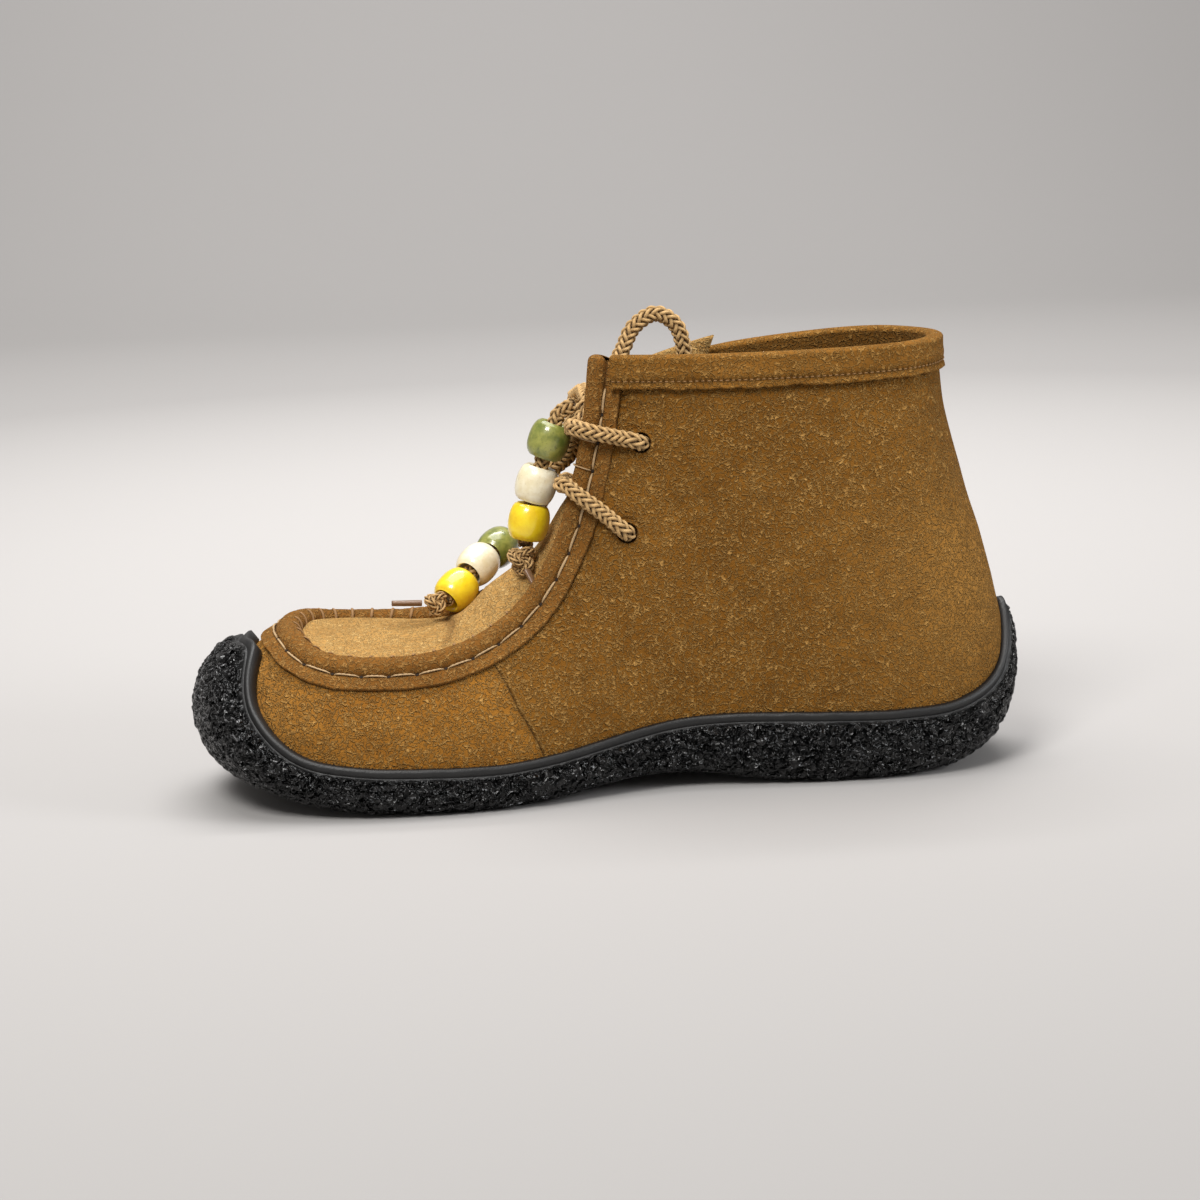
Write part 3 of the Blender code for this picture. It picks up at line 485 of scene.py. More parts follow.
def layBraid(node, path, diameter):
    # strands run both ways round the cord, each over two and under two
    n, sides = braidLook["strandsEachWay"], len(strandSection)
    path = evenly(path, braidLook["step"])
    s = arcLength(path)
    tangents, across, upright = framesAlong(path)
    scale = diameter / braidLook["forDiameter"]
    turnRate = 2 * math.pi / (braidLook["lay"] * scale)
    wide, thick = braidLook["strandWidth"] * scale / 2, braidLook["strandThickness"] * scale / 2
    weave = braidLook["weave"] * scale
    middle = diameter / 2 - thick - weave
    points, faces, heights = [], [], []
    for way in (1, -1):
        for i in range(n):
            angle = 2 * math.pi * i / n + way * turnRate * s
            crossings = way * turnRate * s * n / math.pi + 2 * i
            rise = way * weave * np.cos(math.pi / 2 * crossings + math.pi / 4)
            out = across * np.cos(angle)[:, None] + upright * np.sin(angle)[:, None]
            around = np.cross(tangents, out)
            centre = path + out * (middle + rise)[:, None]
            wideways = np.cross(out, unit(tangents + around * (way * turnRate * middle)))
            strand = [centre + wideways * (wide * a) + out * (thick * b) for a, b in strandSection]
            faces += tubeFaces(len(path), sides, len(points) * len(path) * sides)
            points.append(np.stack(strand, 1).reshape(-1, 3))
            heights.append(np.repeat(np.clip(0.5 + rise / (2 * weave), 0, 1), sides))
    core = sweep(path, circle(braidLook["coreSides"]) * braidLook["core"] * scale).reshape(-1, 3)
    faces += tubeFaces(len(path), braidLook["coreSides"], len(points) * len(path) * sides)
    piece = meshOf(node + "_braid", np.vstack([*points, core]), faces, laceBraid)
    # the core gets the lowest height and so the darkest colour: painted shade in the gaps between strands
    setValue(piece, "strandHeight", np.concatenate([*heights, np.zeros(len(core))]))
    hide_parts(node)
    return piece


# finishes
def suedeFinish(name, look):
    f = Finish(name)
    blotch, cloud = f.noise(0.022, 3, 0.55), f.noise(0.007, 3, 0.6)
    fine = f.noise(0.0005, 2, 0.6)
    # curled fibres: thin lines where a noise crosses its middle, of two kinds in patches
    wandering = 1 - (abs(f.noise(0.0021, 1.0, 0.5, 0.5, f.bent(0.0024, 0.0013)) - 0.5) * 13.0).clamp()
    twisted = 1 - (abs(f.noise(0.0017, 1.0, 0.5, 1.1) - 0.5) * 12.0).clamp()
    patch = f.noise(0.0015, 1).rise(0.40, 0.56)
    curls = wandering * patch + twisted * (1 - patch)
    nap = curls * 0.75 + fine * 0.25
    tone = blotch.rise(0.32, 0.68) * 0.5 + cloud.rise(0.3, 0.7) * 0.5
    ground = f.colours(tone, look["dark"], look["middle"])
    lit = (curls * look["curlShare"] * (0.55 + cloud * 0.9)).clamp() * (0.6 + fine * 0.6)
    colour = f.colours(lit.clamp(), ground, look["light"])
    if "panel" in look:
        warm = f.colours(tone, look["panel"], look["panelLight"])
        warm = f.colours(lit.clamp(), warm, look["light"])
        colour = f.colours(f.value("panel"), colour, warm)
        # painted light: the heel and the toe-end are painted paler where more light falls
        colour = f.colours(f.value("paintedLight") * (0.5 + cloud), colour, look["paintedLight"])
    if "shade" in look:
        colour = f.colours(f.value("shade"), colour, look["shade"])
    height = nap + cloud * 0.5
    if "panel" in look:
        away = f.value("seam")  # millimetres behind the closing seam
        ridge = 1 - (abs(away - 0.75) / 0.45).clamp()
        groove = 1 - (abs(away + fine * 0.2) / 0.34).clamp()
        # painted highlight on the ridge beside the seam and painted shade in its groove
        colour = f.colours(ridge * 0.4, colour, look["light"])
        colour = f.colours(groove * 0.5, colour, look["shade"])
        height = height + ridge * 0.5 - groove * 0.8
    f.feed(Base_Color=colour, Roughness=0.84 + fine * 0.14, Specular_IOR_Level=0.04)
    f.feed(Sheen_Weight=look["sheen"], Sheen_Roughness=0.5, Sheen_Tint=(0.9, 0.62, 0.33, 1.0))
    f.bump(height, look["bump"])
    return f


suedeLooks = {
    "upper": {
        "dark": (0.150, 0.060, 0.0088), "middle": (0.250, 0.108, 0.0172), "light": (0.56, 0.31, 0.090),
        # the paler colour of the heel and toe patches is painted light
        "panel": (0.225, 0.087, 0.0120), "panelLight": (0.345, 0.150, 0.0240), "paintedLight": (0.44, 0.225, 0.055),
        "curlShare": 1.0, "bump": 0.0020, "sheen": 0.06, "shade": (0.035, 0.014, 0.004),
    },
    "edging": {
        "dark": (0.150, 0.060, 0.0115), "middle": (0.235, 0.102, 0.021), "light": (0.44, 0.24, 0.072),
        "curlShare": 0.85, "bump": 0.0010, "sheen": 0.07, "shade": (0.045, 0.018, 0.005),
    },
    "collar": {
        "dark": (0.165, 0.070, 0.0115), "middle": (0.275, 0.122, 0.023), "light": (0.46, 0.25, 0.070),
        "curlShare": 0.9, "bump": 0.0011, "sheen": 0.05, "shade": (0.02, 0.008, 0.0025),
    },
    # the apron's suede is painted paler than the upper's: painted light from above on the flat apron
    "apron": {
        "dark": (0.32, 0.166, 0.048), "middle": (0.47, 0.268, 0.084), "light": (0.70, 0.46, 0.18),
        "curlShare": 0.9, "bump": 0.0009, "sheen": 0.08, "shade": (0.12, 0.055, 0.017),
    },
    "lining": {
        "dark": (0.12, 0.046, 0.009), "middle": (0.19, 0.078, 0.018), "light": (0.40, 0.22, 0.07),
        "curlShare": 0.8, "bump": 0.0008, "sheen": 0.05,
    },
}
suede, edgingSuede, collarSuede, apronSuede, liningSuede = (
    suedeFinish(name + "Suede", suedeLooks[name]) for name in ("upper", "edging", "collar", "apron", "lining")
)


def rubberFinish():
    f = Finish("blackRubber")
    side = f.value("pebbled")  # 0 on the smooth lip, 1 on the pebbled side
    height = f.value("pebble")
    coarse = f.noise(0.009, 3, 0.6)
    worm = 1 - (abs(f.noise(0.0036, 0.8, 0.5, 1.0) - 0.5) * 7.0).clamp()
    crumb = f.noise(0.0024, 0.6, 0.5, 0.7)
    fine = f.noise(0.0006, 2, 0.6)
    dark, grey, paintedLight = (0.0012, 0.0012, 0.0013), (0.0055, 0.0054, 0.0056), (0.020, 0.0195, 0.0195)
    # painted shade and highlight: the clefts between the pads are painted dark and the pads paler grey
    body = f.colours((height * 0.7 + worm * 0.3).clamp(), dark, grey)
    # painted highlight: the highest pads are painted paler still, in patches
    body = f.colours(((height - 0.62) * 2.2).clamp() * coarse.rise(0.35, 0.7), body, paintedLight)
    lip = f.colours(coarse.rise(0.3, 0.7) * 0.6 + fine * 0.4, (0.0030, 0.0030, 0.0032), (0.0075, 0.0073, 0.0072))
    rough = 0.11 + (1 - side) * 0.34 + coarse * 0.08 + fine * 0.04
    f.feed(Base_Color=f.colours(side, lip, body), Roughness=rough, Specular_IOR_Level=0.55)
    f.bump((worm * -1.3 + crumb * 2.4) * side + fine * 0.05, 0.0022)
    return f


def braidFinish():
    f = Finish("lacebraid")
    height = f.value("strandHeight")
    fibre = f.noise(0.0003, 2, 0.6)
    tone = f.noise(0.006, 2, 0.5)
    # painted shade: strands are painted dark where they dip under others and light where they cross over
    base = f.colours((height * 0.85 + fibre * 0.5 - 0.12).clamp(), (0.030, 0.012, 0.004), (0.56, 0.35, 0.145))
    colour = f.colours(tone.rise(0.35, 0.7) * (height * 0.35), base, (0.66, 0.46, 0.23))
    f.feed(Base_Color=colour, Roughness=0.62 + fibre * 0.25, Specular_IOR_Level=0.2)
    f.feed(Sheen_Weight=0.05, Sheen_Roughness=0.4)
    f.bump(fibre, 0.00018)
    return f


def glazeFinish(name, look):
    f = Finish(name)
    cloud, speck = f.noise(0.004, 3, 0.6), f.noise(0.0009, 2, 0.7)
    colour = f.colours(cloud.rise(0.35, 0.66), look["deep"], look["pale"])
    colour = f.colours(speck.rise(0.60, 0.72) * look["specks"], colour, look["speck"])
    f.feed(Base_Color=colour, Roughness=look["rough"] + cloud * 0.1, Specular_IOR_Level=0.5)
    f.feed(Coat_Weight=0.75, Coat_Roughness=0.08)
    f.bump(cloud + speck * 0.2, 0.0002)
    return f


glazeLooks = {
    "green": {
        "deep": (0.13, 0.16, 0.028), "pale": (0.33, 0.33, 0.075), "speck": (0.10, 0.10, 0.02), "specks": 0.8,
        "rough": 0.25,
    },
    "cream": {
        "deep": (0.80, 0.70, 0.46), "pale": (0.93, 0.87, 0.68), "speck": (0.55, 0.42, 0.24), "specks": 0.5,
        "rough": 0.3,
    },
    "yellow": {
        "deep": (0.85, 0.56, 0.008), "pale": (0.95, 0.72, 0.02), "speck": (0.7, 0.42, 0.01), "specks": 0.4,
        "rough": 0.25,
    },
}


def plainFinish(name, dark, pale, size, rough, bump):
    f = Finish(name)
    grainy, patch = f.noise(size, 3, 0.6), f.noise(size * 9, 2, 0.5)
    share = (grainy * 0.6 + patch * 0.5 - 0.05).clamp()
    f.feed(Base_Color=f.colours(share, dark, pale), Roughness=rough + grainy * 0.15)
    f.bump(grainy, bump)
    return f


blackRubber, laceBraid = rubberFinish(), braidFinish()
glazes = {colour: glazeFinish(colour + "Glaze", look) for colour, look in glazeLooks.items()}
threadBeige = plainFinish("threadBeige", (0.22, 0.125, 0.05), (0.60, 0.42, 0.22), 0.00035, 0.6, 0.00015)
threadTan = plainFinish("threadTan", (0.17, 0.08, 0.024), (0.36, 0.20, 0.075), 0.00035, 0.7, 0.00015)
# painted shade: the dark colour of the stitch-hole discs stands in for the holes' depth
holeDark = plainFinish("holeDark", (0.006, 0.003, 0.001), (0.02, 0.009, 0.003), 0.0005, 0.85, 0.0001)
aglet = plainFinish("agletBrown", (0.10, 0.045, 0.02), (0.26, 0.15, 0.08), 0.0008, 0.28, 0.0001)
print("finishes made")


# laces
def mm(*values):
    return np.array(values, float) / 1000


# crossings are places on the throat's edge; a bar comes out through its eyelet at the offsets given,
# is lifted over the wall at shares of the way to the edge, and turns over the roll at the degrees given
laceSettings = {
    "diameter": 0.0055, "crossing": {"lower": 9.98, "upper": 10.98}, "through": (-0.0024, -0.0004, 0.0016),
    "lifts": ((0.15, 0.0003), (0.34, 0.0002), (0.54, 0.0016), (0.68, 0.0031), (0.84, 0.0037)),
    "overRoll": (84, 125, 165), "knotGap": 0.0050,
}
beadSize = {"across": 0.0135, "long": 0.0118, "hole": 0.0078, "mouth": 0.0008, "cord": 0.42, "rows": 25}
eyelets = {"lower": (0.0198, 0.606), "upper": (0.0420, 0.808)}  # shares of the last's length and of the collar's height
roll = {
    "toe": 0.0041, "throat": 0.0036, "inset": 0.0012, "sink": 0.0005, "end": 0.0020, "skin": 0.0012,
    "flange": 0.0098,
}


def rollRadius(place):
    place = np.minimum(abs(place) % ring, ring - abs(place) % ring)
    return roll["toe"] + (roll["throat"] - roll["toe"]) * np.clip((place - 5) / 4, 0, 1)


def onWall(side, x, z):
    # place and climb of the wall where it's seen at x and z
    p, c = np.meshgrid(np.arange(4, 16, 0.5), np.arange(0.3, 1.01, 0.1), indexing="ij")
    near = abs(face(p, c)[..., 0] - x) + abs(face(p, c)[..., 2] - z)
    first = np.unravel_index(near.argmin(), near.shape)
    place = p[first] if side < 0 else ring - p[first]
    goal = np.array([x, 0, z])
    p, c = solve(lambda a, b: (face(a, b) - goal)[..., [0, 2]], np.array([place]), np.array([c[first]]))
    return p[0], c[0]


def eyeletPlace(side, which):
    x, z = eyelets[which]
    lag, dip = last["throatLag"] * max(side, 0), last["collarDip"] * max(side, 0)
    return onWall(side, x * last["length"] + lag, z * (last["collar"] - dip))


def barRoute(side, which):
    s = laceSettings
    place, climb = eyeletPlace(side, which)
    over = -side * s["crossing"][which]
    lie = s["diameter"] / 2 + last["gap"]
    hole, edge = face(place, climb), edgePoint(over, 0.0, 0.0)
    route = [wallPoint(place, climb, offset) for offset in s["through"]]
    for share, lift in s["lifts"]:
        point = hole + (edge - hole) * share
        p, c = onWall(side, point[0], point[2])
        route.append(wallPoint(p, c, lie + lift))
    away = float(rollRadius(over)) + lie
    for angle in map(math.radians, s["overRoll"]):
        down = roll["inset"] + away * math.cos(angle)
        route.append(edgePoint(over, min(down, 0.0), away * math.sin(angle) - roll["sink"]))
    return [np.asarray(p).reshape(3) for p in route]


def layBars():
    across = [mm(-12.4, -7, 98.0), mm(-12.0, 0, 97.8), mm(-12.4, 7, 96.4)]
    intoKnot = {
        "inner": [mm(-9.9, -12.2, 116.0), mm(-7.6, -11.0, 119.4), mm(-4.8, -9.4, 121.8)],
        "outer": [
            mm(-9.9, 12.2, 113.4), mm(-8.9, 8.2, 115.6), mm(-8.6, 3.4, 117.4), mm(-7.4, -2.4, 119.6),
            mm(-4.6, -7.2, 121.6),
        ],
    }
    routes = {"lower_bar": barRoute(-1, "lower") + across + barRoute(1, "lower")[::-1]}
    for side, sideName in ((-1, "inner"), (1, "outer")):
        routes["upper_" + sideName] = barRoute(side, "upper") + intoKnot[sideName]
    for name, route in routes.items():
        layBraid("lace_" + name, smoothLine(route), laceSettings["diameter"])


bowPoints = {
    "standing": [
        mm(0.0, -10.2, 127.5), mm(1.4, -9.9, 131.4), mm(4.2, -8.4, 135.8), mm(7.6, -6, 141), mm(11.4, -5, 148),
        mm(18.6, -5, 152.2), mm(25.2, -5, 148.2), mm(27.6, -5, 140), mm(27.6, -3, 132), mm(23, 2, 128.6),
        mm(14, 6, 130.4), mm(7, 3.6, 134.4), mm(1.4, -2.8, 134.4), mm(-2.0, -5.6, 131.0), mm(-2.9, -5.8, 127.4),
    ],
    "hangingOut": [
        mm(-4.0, -7.0, 122.0), mm(-4.9, -3.4, 121.2), mm(-4.8, 0.4, 120.4), mm(-5.6, 4.4, 119.6), mm(-6.2, 9.0, 119.2),
    ],
    # seen at x and z, and lifted off the wall, all in millimetres
    "hangingAlong": [
        (6, 119.6, 4.0), (14, 119, 3.0), (24, 114, 0.6), (31, 106.5, 0.4), (37.5, 104.5, 0.4), (41, 109, 0.4),
        (36, 116.5, 1.6), (25, 123.5, 3.0), (13, 125.5, 3.6),
    ],
    "hangingBack": [
        mm(-4.4, 10.2, 126.4), mm(-4.3, 5.6, 126.2), mm(-4.5, 1.4, 125.8), mm(-4.3, -3.0, 125.0), mm(-3.7, -7.0, 123.4),
    ],
    # over the roll of the outer side: place on its edge, past the edge, off the wall
    "overOut": [(-11.26, -0.0030, 0.0063), (-11.26, 0.0, 0.0077)],
    "overBack": [(-11.56, 0.0, 0.0086), (-11.56, -0.0030, 0.0070)],
}


def hangingRoute():
    lie = laceSettings["diameter"] / 2 + 2 * last["gap"]
    route = bowPoints["hangingOut"] + [edgePoint(*spot) for spot in bowPoints["overOut"]]
    for x, z, lift in bowPoints["hangingAlong"]:
        p, c = onWall(1, x / 1000, z / 1000)
        route.append(wallPoint(p, c, lie + lift / 1000))
    route += [edgePoint(*spot) for spot in bowPoints["overBack"]]
    return [np.asarray(p).reshape(3) for p in route + bowPoints["hangingBack"]]


endPoints = {
    "inner": {
        "beads": [
            (mm(-17.4, -6.8, 112.9), mm(-4, 0, -10)), (mm(-22.0, -6.8, 98.8), mm(-4, 0, -12)),
            (mm(-24.9, -6.8, 86.6), mm(-2, -0.2, -10)),
        ],
        "route": [mm(-8.8, -9.0, 124.6), mm(-11.0, -8.2, 123.4), mm(-13.8, -6.8, 121.4)],
        "knot": mm(-27.8, -10.0, 74.7), "aglet": (mm(-26.6, -13.6, 71.8), mm(-24.6, -16.6, 67.6)),
        "knotFacing": (0.25, -1, 0.25), "knotReach": 0.0037, "knotCord": 0.0036,
    },
    "outer": {
        "beads": [
            (mm(-33.2, 36.0, 70.8), mm(-5.4, -7.8, -2.8)), (mm(-40.6, 25.0, 67.4), mm(-5.7, -6.4, -4.0)),
            (mm(-48.4, 18.0, 60.4), mm(-6.1, -5.6, -4.6)),
        ],
        "route": [
            mm(-7.8, -3.6, 117.2), mm(-7.9, 1.8, 112.6), mm(-9.8, 7.2, 105.6), mm(-15.9, 12.7, 99.2),
            mm(-18.0, 20.5, 90.0), mm(-20.5, 31, 83), mm(-24.0, 39, 77.5), mm(-27.4, 42.6, 73.8),
        ],
        "knot": mm(-55.7, 9.3, 58.0), "aglet": (mm(-60.5, 8.9, 58.3), mm(-70.4, 8.4, 58.8)),
        "knotFacing": (0.3, -1, 0.4), "knotReach": 0.0027, "knotCord": 0.0036,
    },
}


def turned(points, axis, centre):
    # points round the origin, moved to a centre with their z along an axis
    turn = np.array(Vector(axis).to_track_quat("Z", "Y").to_matrix())
    return points.reshape(-1, 3) @ turn.T + centre


def layBead(side, colour, centre, axis):
    # a barrel whose outline closes through its hole
    half, wide, hole = beadSize["long"] / 2, beadSize["across"] / 2, beadSize["hole"] / 2
    t = np.linspace(-1, 1, beadSize["rows"])
    barrel = np.stack([wide * (0.70 + 0.30 * (1 - abs(t) ** 2.3) ** 0.62), half * t * 0.985], -1)
    mouth = hole + beadSize["mouth"]
    profile = np.vstack([barrel, [(mouth, half), (hole, half * 0.86), (hole, -half * 0.86), (mouth, -half)]])
    steps = 64
    rings = profile[:, None, :1] * circle(steps)
    local = np.concatenate([rings, np.repeat(profile[:, None, 1:], steps, 1)], -1)
    node = f"bead_{side}_{colour}"
    faces = gridFaces(len(profile), steps, True, True)[:, ::-1]
    piece = meshOf(node + "_glazed", turned(local, axis, centre), faces, glazes[colour])
    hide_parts(node)
    colour + "_glaze"
    return piece


def layKnot(node, centre, axis, reach, thick, phase=0.0):
    # a cord wound through itself, as an overhand knot
    t = np.linspace(0, 2 * math.pi, 140)
    x = np.sin(t + phase) + 2 * np.sin(2 * t + phase)
    y = np.cos(t + phase) - 2 * np.cos(2 * t + phase)
    z = -np.sin(3 * t) * 1.4
    return layBraid(node, turned(np.stack([x, y, z], -1) / 3.0 * reach, axis, centre), thick)


def layEnds():
    for side, points in endPoints.items():
        route = list(points["route"])
        for colour, (centre, axis) in zip(glazes, points["beads"]):
            axis = axis / np.linalg.norm(axis)
            layBead(side, colour, centre, axis)
            straight = axis * beadSize["long"] * beadSize["cord"]
            route += [centre - straight, centre + straight]
        reach = points["knot"] - route[-1]
        route.append(route[-1] + reach * (1 - laceSettings["knotGap"] / np.linalg.norm(reach)))
        layKnot(f"end_knot_{side}", *(points[k] for k in ("knot", "knotFacing", "knotReach", "knotCord")))
        layAglet(side, *points["aglet"])
        path = smoothLine(route)
        piece = layBraid(f"lace_end_{side}", path, laceSettings["diameter"])


agletSize = {"radius": 0.0017, "taper": 0.12, "flatness": 0.62, "rows": 24, "around": 24}


def layAglet(side, start, end):
    # a sleeve that is pressed flat a little and narrows to its tip
    s = agletSize
    path, share = np.linspace(start, end, s["rows"]), np.linspace(0, 1, s["rows"])
    wide = s["radius"] * (1 - s["taper"] * share)
    outline = circle(s["around"]) * (1, s["flatness"]) * wide[:, None, None]
    piece = meshOf(f"aglet_{side}_sleeve", sweep(path, outline), tubeFaces(s["rows"], s["around"]), aglet)
    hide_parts(f"aglet_{side}")
    return piece


def layBow():
    size = laceSettings["diameter"]
    for name, route in (("standing", bowPoints["standing"]), ("hanging", hangingRoute())):
        path = smoothLine(route)
        piece = layBraid(f"lace_loop_{name}", path, size)
    layKnot("lace_knot", mm(-3.6, -8.6, 122.6), (0.25, 1, 0.2), 0.0028, 0.0046, 0.6)


layEnds()
layBow()
layBars()
print("laces and beads laid")


# the upper: one sheet round the last, softly dented where it flexes
upperSettings = {
    "stations": 560, "rows": 72, "waves": 0.0011, "dents": 0.00035, "liningStations": 260, "liningRows": 30,
    "seam": ((6.22, 0.86), (6.25, 0.75), (6.45, 0.37), (6.9, 0.0)),  # place and climb of the closing seam
    "eyeletHole": 0.0034, "eyeletRim": 0.0052, "eyeletRows": 9, "eyeletAround": 48, "eyeletBore": 0.0034,
    "behindEyelet": 0.0032,
}


def seamPlace(climb):
    places, climbs = zip(*upperSettings["seam"])
    return np.interp(climb, climbs[::-1], places[::-1])


def denting(place, climb):
    # how far the suede stands in or out of the last
    points = face(place, climb)
    edge = np.clip(climb / 0.2, 0, 1) * np.clip((1.0 - climb) / 0.12, 0, 1)
    waves = grain(points, 0.034, 3) * upperSettings["waves"] + grain(points, 0.013, 5) * upperSettings["dents"]
    side = np.where(place > ring / 2, ring - place, place)
    seam = (side - seamPlace(climb)) * 15.0  # about millimetres from the seam
    step = np.clip(seam / 1.2, -1, 1) * 0.00016  # the front panel laps a little under the back one
    return waves * edge + step * edge


def skinPoint(place, climb, offset=0.0):
    return wallPoint(place, climb, denting(place, climb) + offset)


def makeUpper():
    s = upperSettings
    place, climb = np.meshgrid(
        np.arange(s["stations"]) * ring / s["stations"], np.linspace(0, 1, s["rows"]) ** 0.92, indexing="ij",
    )
    points = skinPoint(place, climb)
    push = np.zeros(place.shape)
    for side in (-1, 1):
        for which in eyelets:
            p, c = eyeletPlace(side, which)
            away = np.linalg.norm(points - skinPoint(p, c), axis=-1)
            under = np.clip((s["eyeletHole"] + 0.0010 - away) / 0.0008, 0, 1)
            push = np.minimum(push, -s["behindEyelet"] * under)  # the wall steps back under the eyelet's skin
    points = points + outward(place, climb) * push[..., None]
    piece = meshOf("upper_suede", points, gridFaces(s["stations"], s["rows"], True), suede)
    side = np.where(place > ring / 2, ring - place, place)
    setValue(piece, "panel", np.clip((seamPlace(climb) - side) * 8, 0, 1))
    setValue(piece, "seam", np.clip((side - seamPlace(climb)) * 17, -9, 9))
    # painted light: paler patches at the heel and the toe-end, where more light falls
    heel = np.exp(-((side - 16.6) / 1.7) ** 2) * np.exp(-((climb - 0.35) / 0.32) ** 2)
    toe = np.exp(-(side / 2.6) ** 2) * np.exp(-((climb - 0.25) / 0.5) ** 2)
    setValue(piece, "paintedLight", np.clip(heel * 0.55 + toe * 0.60, 0, 1))
    shade = np.clip(1 - climb / 0.012, 0, 1) * 0.3 + np.clip(-push / 0.002, 0, 1)
    setValue(piece, "shade", np.clip(shade, 0, 1))
    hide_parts("upper")
    place, climb = np.meshgrid(
        np.arange(s["liningStations"]) * ring / s["liningStations"], np.linspace(0, 1, s["liningRows"]), indexing="ij",
    )
    inside = wallPoint(place, climb, -last["wall"] + grain(face(place, climb), 0.02, 8) * 0.0004)
    faces = gridFaces(s["liningStations"], s["liningRows"], True)[:, ::-1]
    lining = meshOf("upper_lining", inside, faces, liningSuede)
    for side, sideName in ((-1, "inner"), (1, "outer")):
        for which in eyelets:
            makeEyelet(side, sideName, which)


def makeEyelet(side, sideName, which):
    # a plain punched hole: its edge turns in and leads to a short dark bore
    s = upperSettings
    count, around = s["eyeletRows"], s["eyeletAround"]
    place, climb = eyeletPlace(side, which)
    centre, out = face(place, climb), outward(place, climb)
    along = unit(np.cross(out, (0, 0, 1.0)))
    plane = np.stack([along, np.cross(along, out)])
    radii = np.linspace(s["eyeletHole"], s["eyeletRim"], count)
    goals = centre + radii[:, None, None] * (circle(around) @ plane)
    found = solve(
        lambda p, c: (face(p, c) - goals) @ plane.T, np.full(goals.shape[:2], place), np.full(goals.shape[:2], climb),
    )
    share = np.linspace(0, 1, count)[:, None]
    lift = 0.00022 * (1 - share) ** 1.5 - 0.00012 * share
    rows = skinPoint(*found, np.broadcast_to(lift, goals.shape[:2]))
    inwards = unit(centre - rows[0])
    edge = rows[0] - out * 0.0005 + inwards * 0.00025
    deep = rows[0] - out * s["eyeletBore"] + inwards * 0.0003
    points = np.concatenate([[deep], [edge], rows])
    faces = gridFaces(len(points), around, False, True)
    piece = meshOf(f"eyelet_{sideName}_{which}", points, faces, suede)
    shade = np.zeros(points.shape[:2])
    shade[0], shade[1], shade[2] = 1.0, 0.85, 0.35
    setValue(piece, "shade", shade)
    setValue(piece, "panel", np.zeros(points.shape[:2]))
    setValue(piece, "seam", np.full(points.shape[:2], 9.0))
    setValue(piece, "paintedLight", np.zeros(points.shape[:2]))


makeUpper()
print("upper made")


# cup sole: a smooth lip, then a pebbled side down to the tread
soleSizes = {
    "foreSide": 0.0155, "heelSide": 0.0242, "capDrop": 0.0047, "heelCup": 0.0520, "archLift": 0.005, "tipLift": 0.0095,
    "lipStep": 0.0008, "lipHeight": 0.0028, "lipRim": 0.0006, "lipWobble": 0.00014, "stations": 1100, "sideRows": 62,
    "pebbles": 0.00125, "groove": 0.0011, "grooveAlong": 0.0021, "grooveAcross": 0.0065, "treadStrips": 34,
}
# toe heel side, lip archIn archOut, tip tuck flare footFlare high low
soleRows = [
    (1, 0, 0, .046, 0, 0, 1.14, .052, .208, .205, .08, .14),
    (.96, 0, 0, .044, 0, 0, 1, .052, .198, .198, .08, .14),
    (.52, 0, 0, .036, 0, 0, .72, .056, .12, .158, .14, .16),
    (.17, 0, 0, .025, 0, 0, .39, .054, .044, .112, .25, .2),
    (.05, 0, 0, .018, 0, 0, .12, .046, .022, .095, .3, .22),
    (.01, 0, 0, .017, 0, 0, 0, .04, .018, .086, .32, .22),
    (0, 0, -.02, .017, 0, 0, 0, .04, .018, .084, .32, .22),
    (0, 0, .15, .017, .22, .05, 0, .038, .018, .08, .32, .22),
    (0, 0, .45, .017, .65, .2, 0, .036, .018, .076, .32, .22),
    (0, 0, .74, .017, .95, .36, 0, .036, .018, .074, .32, .22),
    (0, 0, .96, .017, 1, .4, 0, .036, .018, .074, .32, .22),
    (0, 0, 1.06, .017, .82, .3, 0, .036, .018, .076, .32, .22),
    (0, 0, 1.08, .017, .46, .15, 0, .036, .018, .08, .32, .22),
    (0, 0, 1.05, .017, .12, .03, 0, .038, .018, .084, .32, .2),
    (0, 0, .99, .018, 0, 0, 0, .042, .02, .09, .32, .2),
    (0, 0, .94, .019, 0, 0, .02, .048, .02, .096, .32, .18),
    (0, .05, .97, .021, 0, 0, .16, .064, .024, .108, .3, .17),
    (0, .33, 1, .023, 0, 0, .4, .08, .034, .132, .26, .16),
    (0, 1, 1, .026, 0, 0, .6, .09, .05, .155, .22, .16),
]


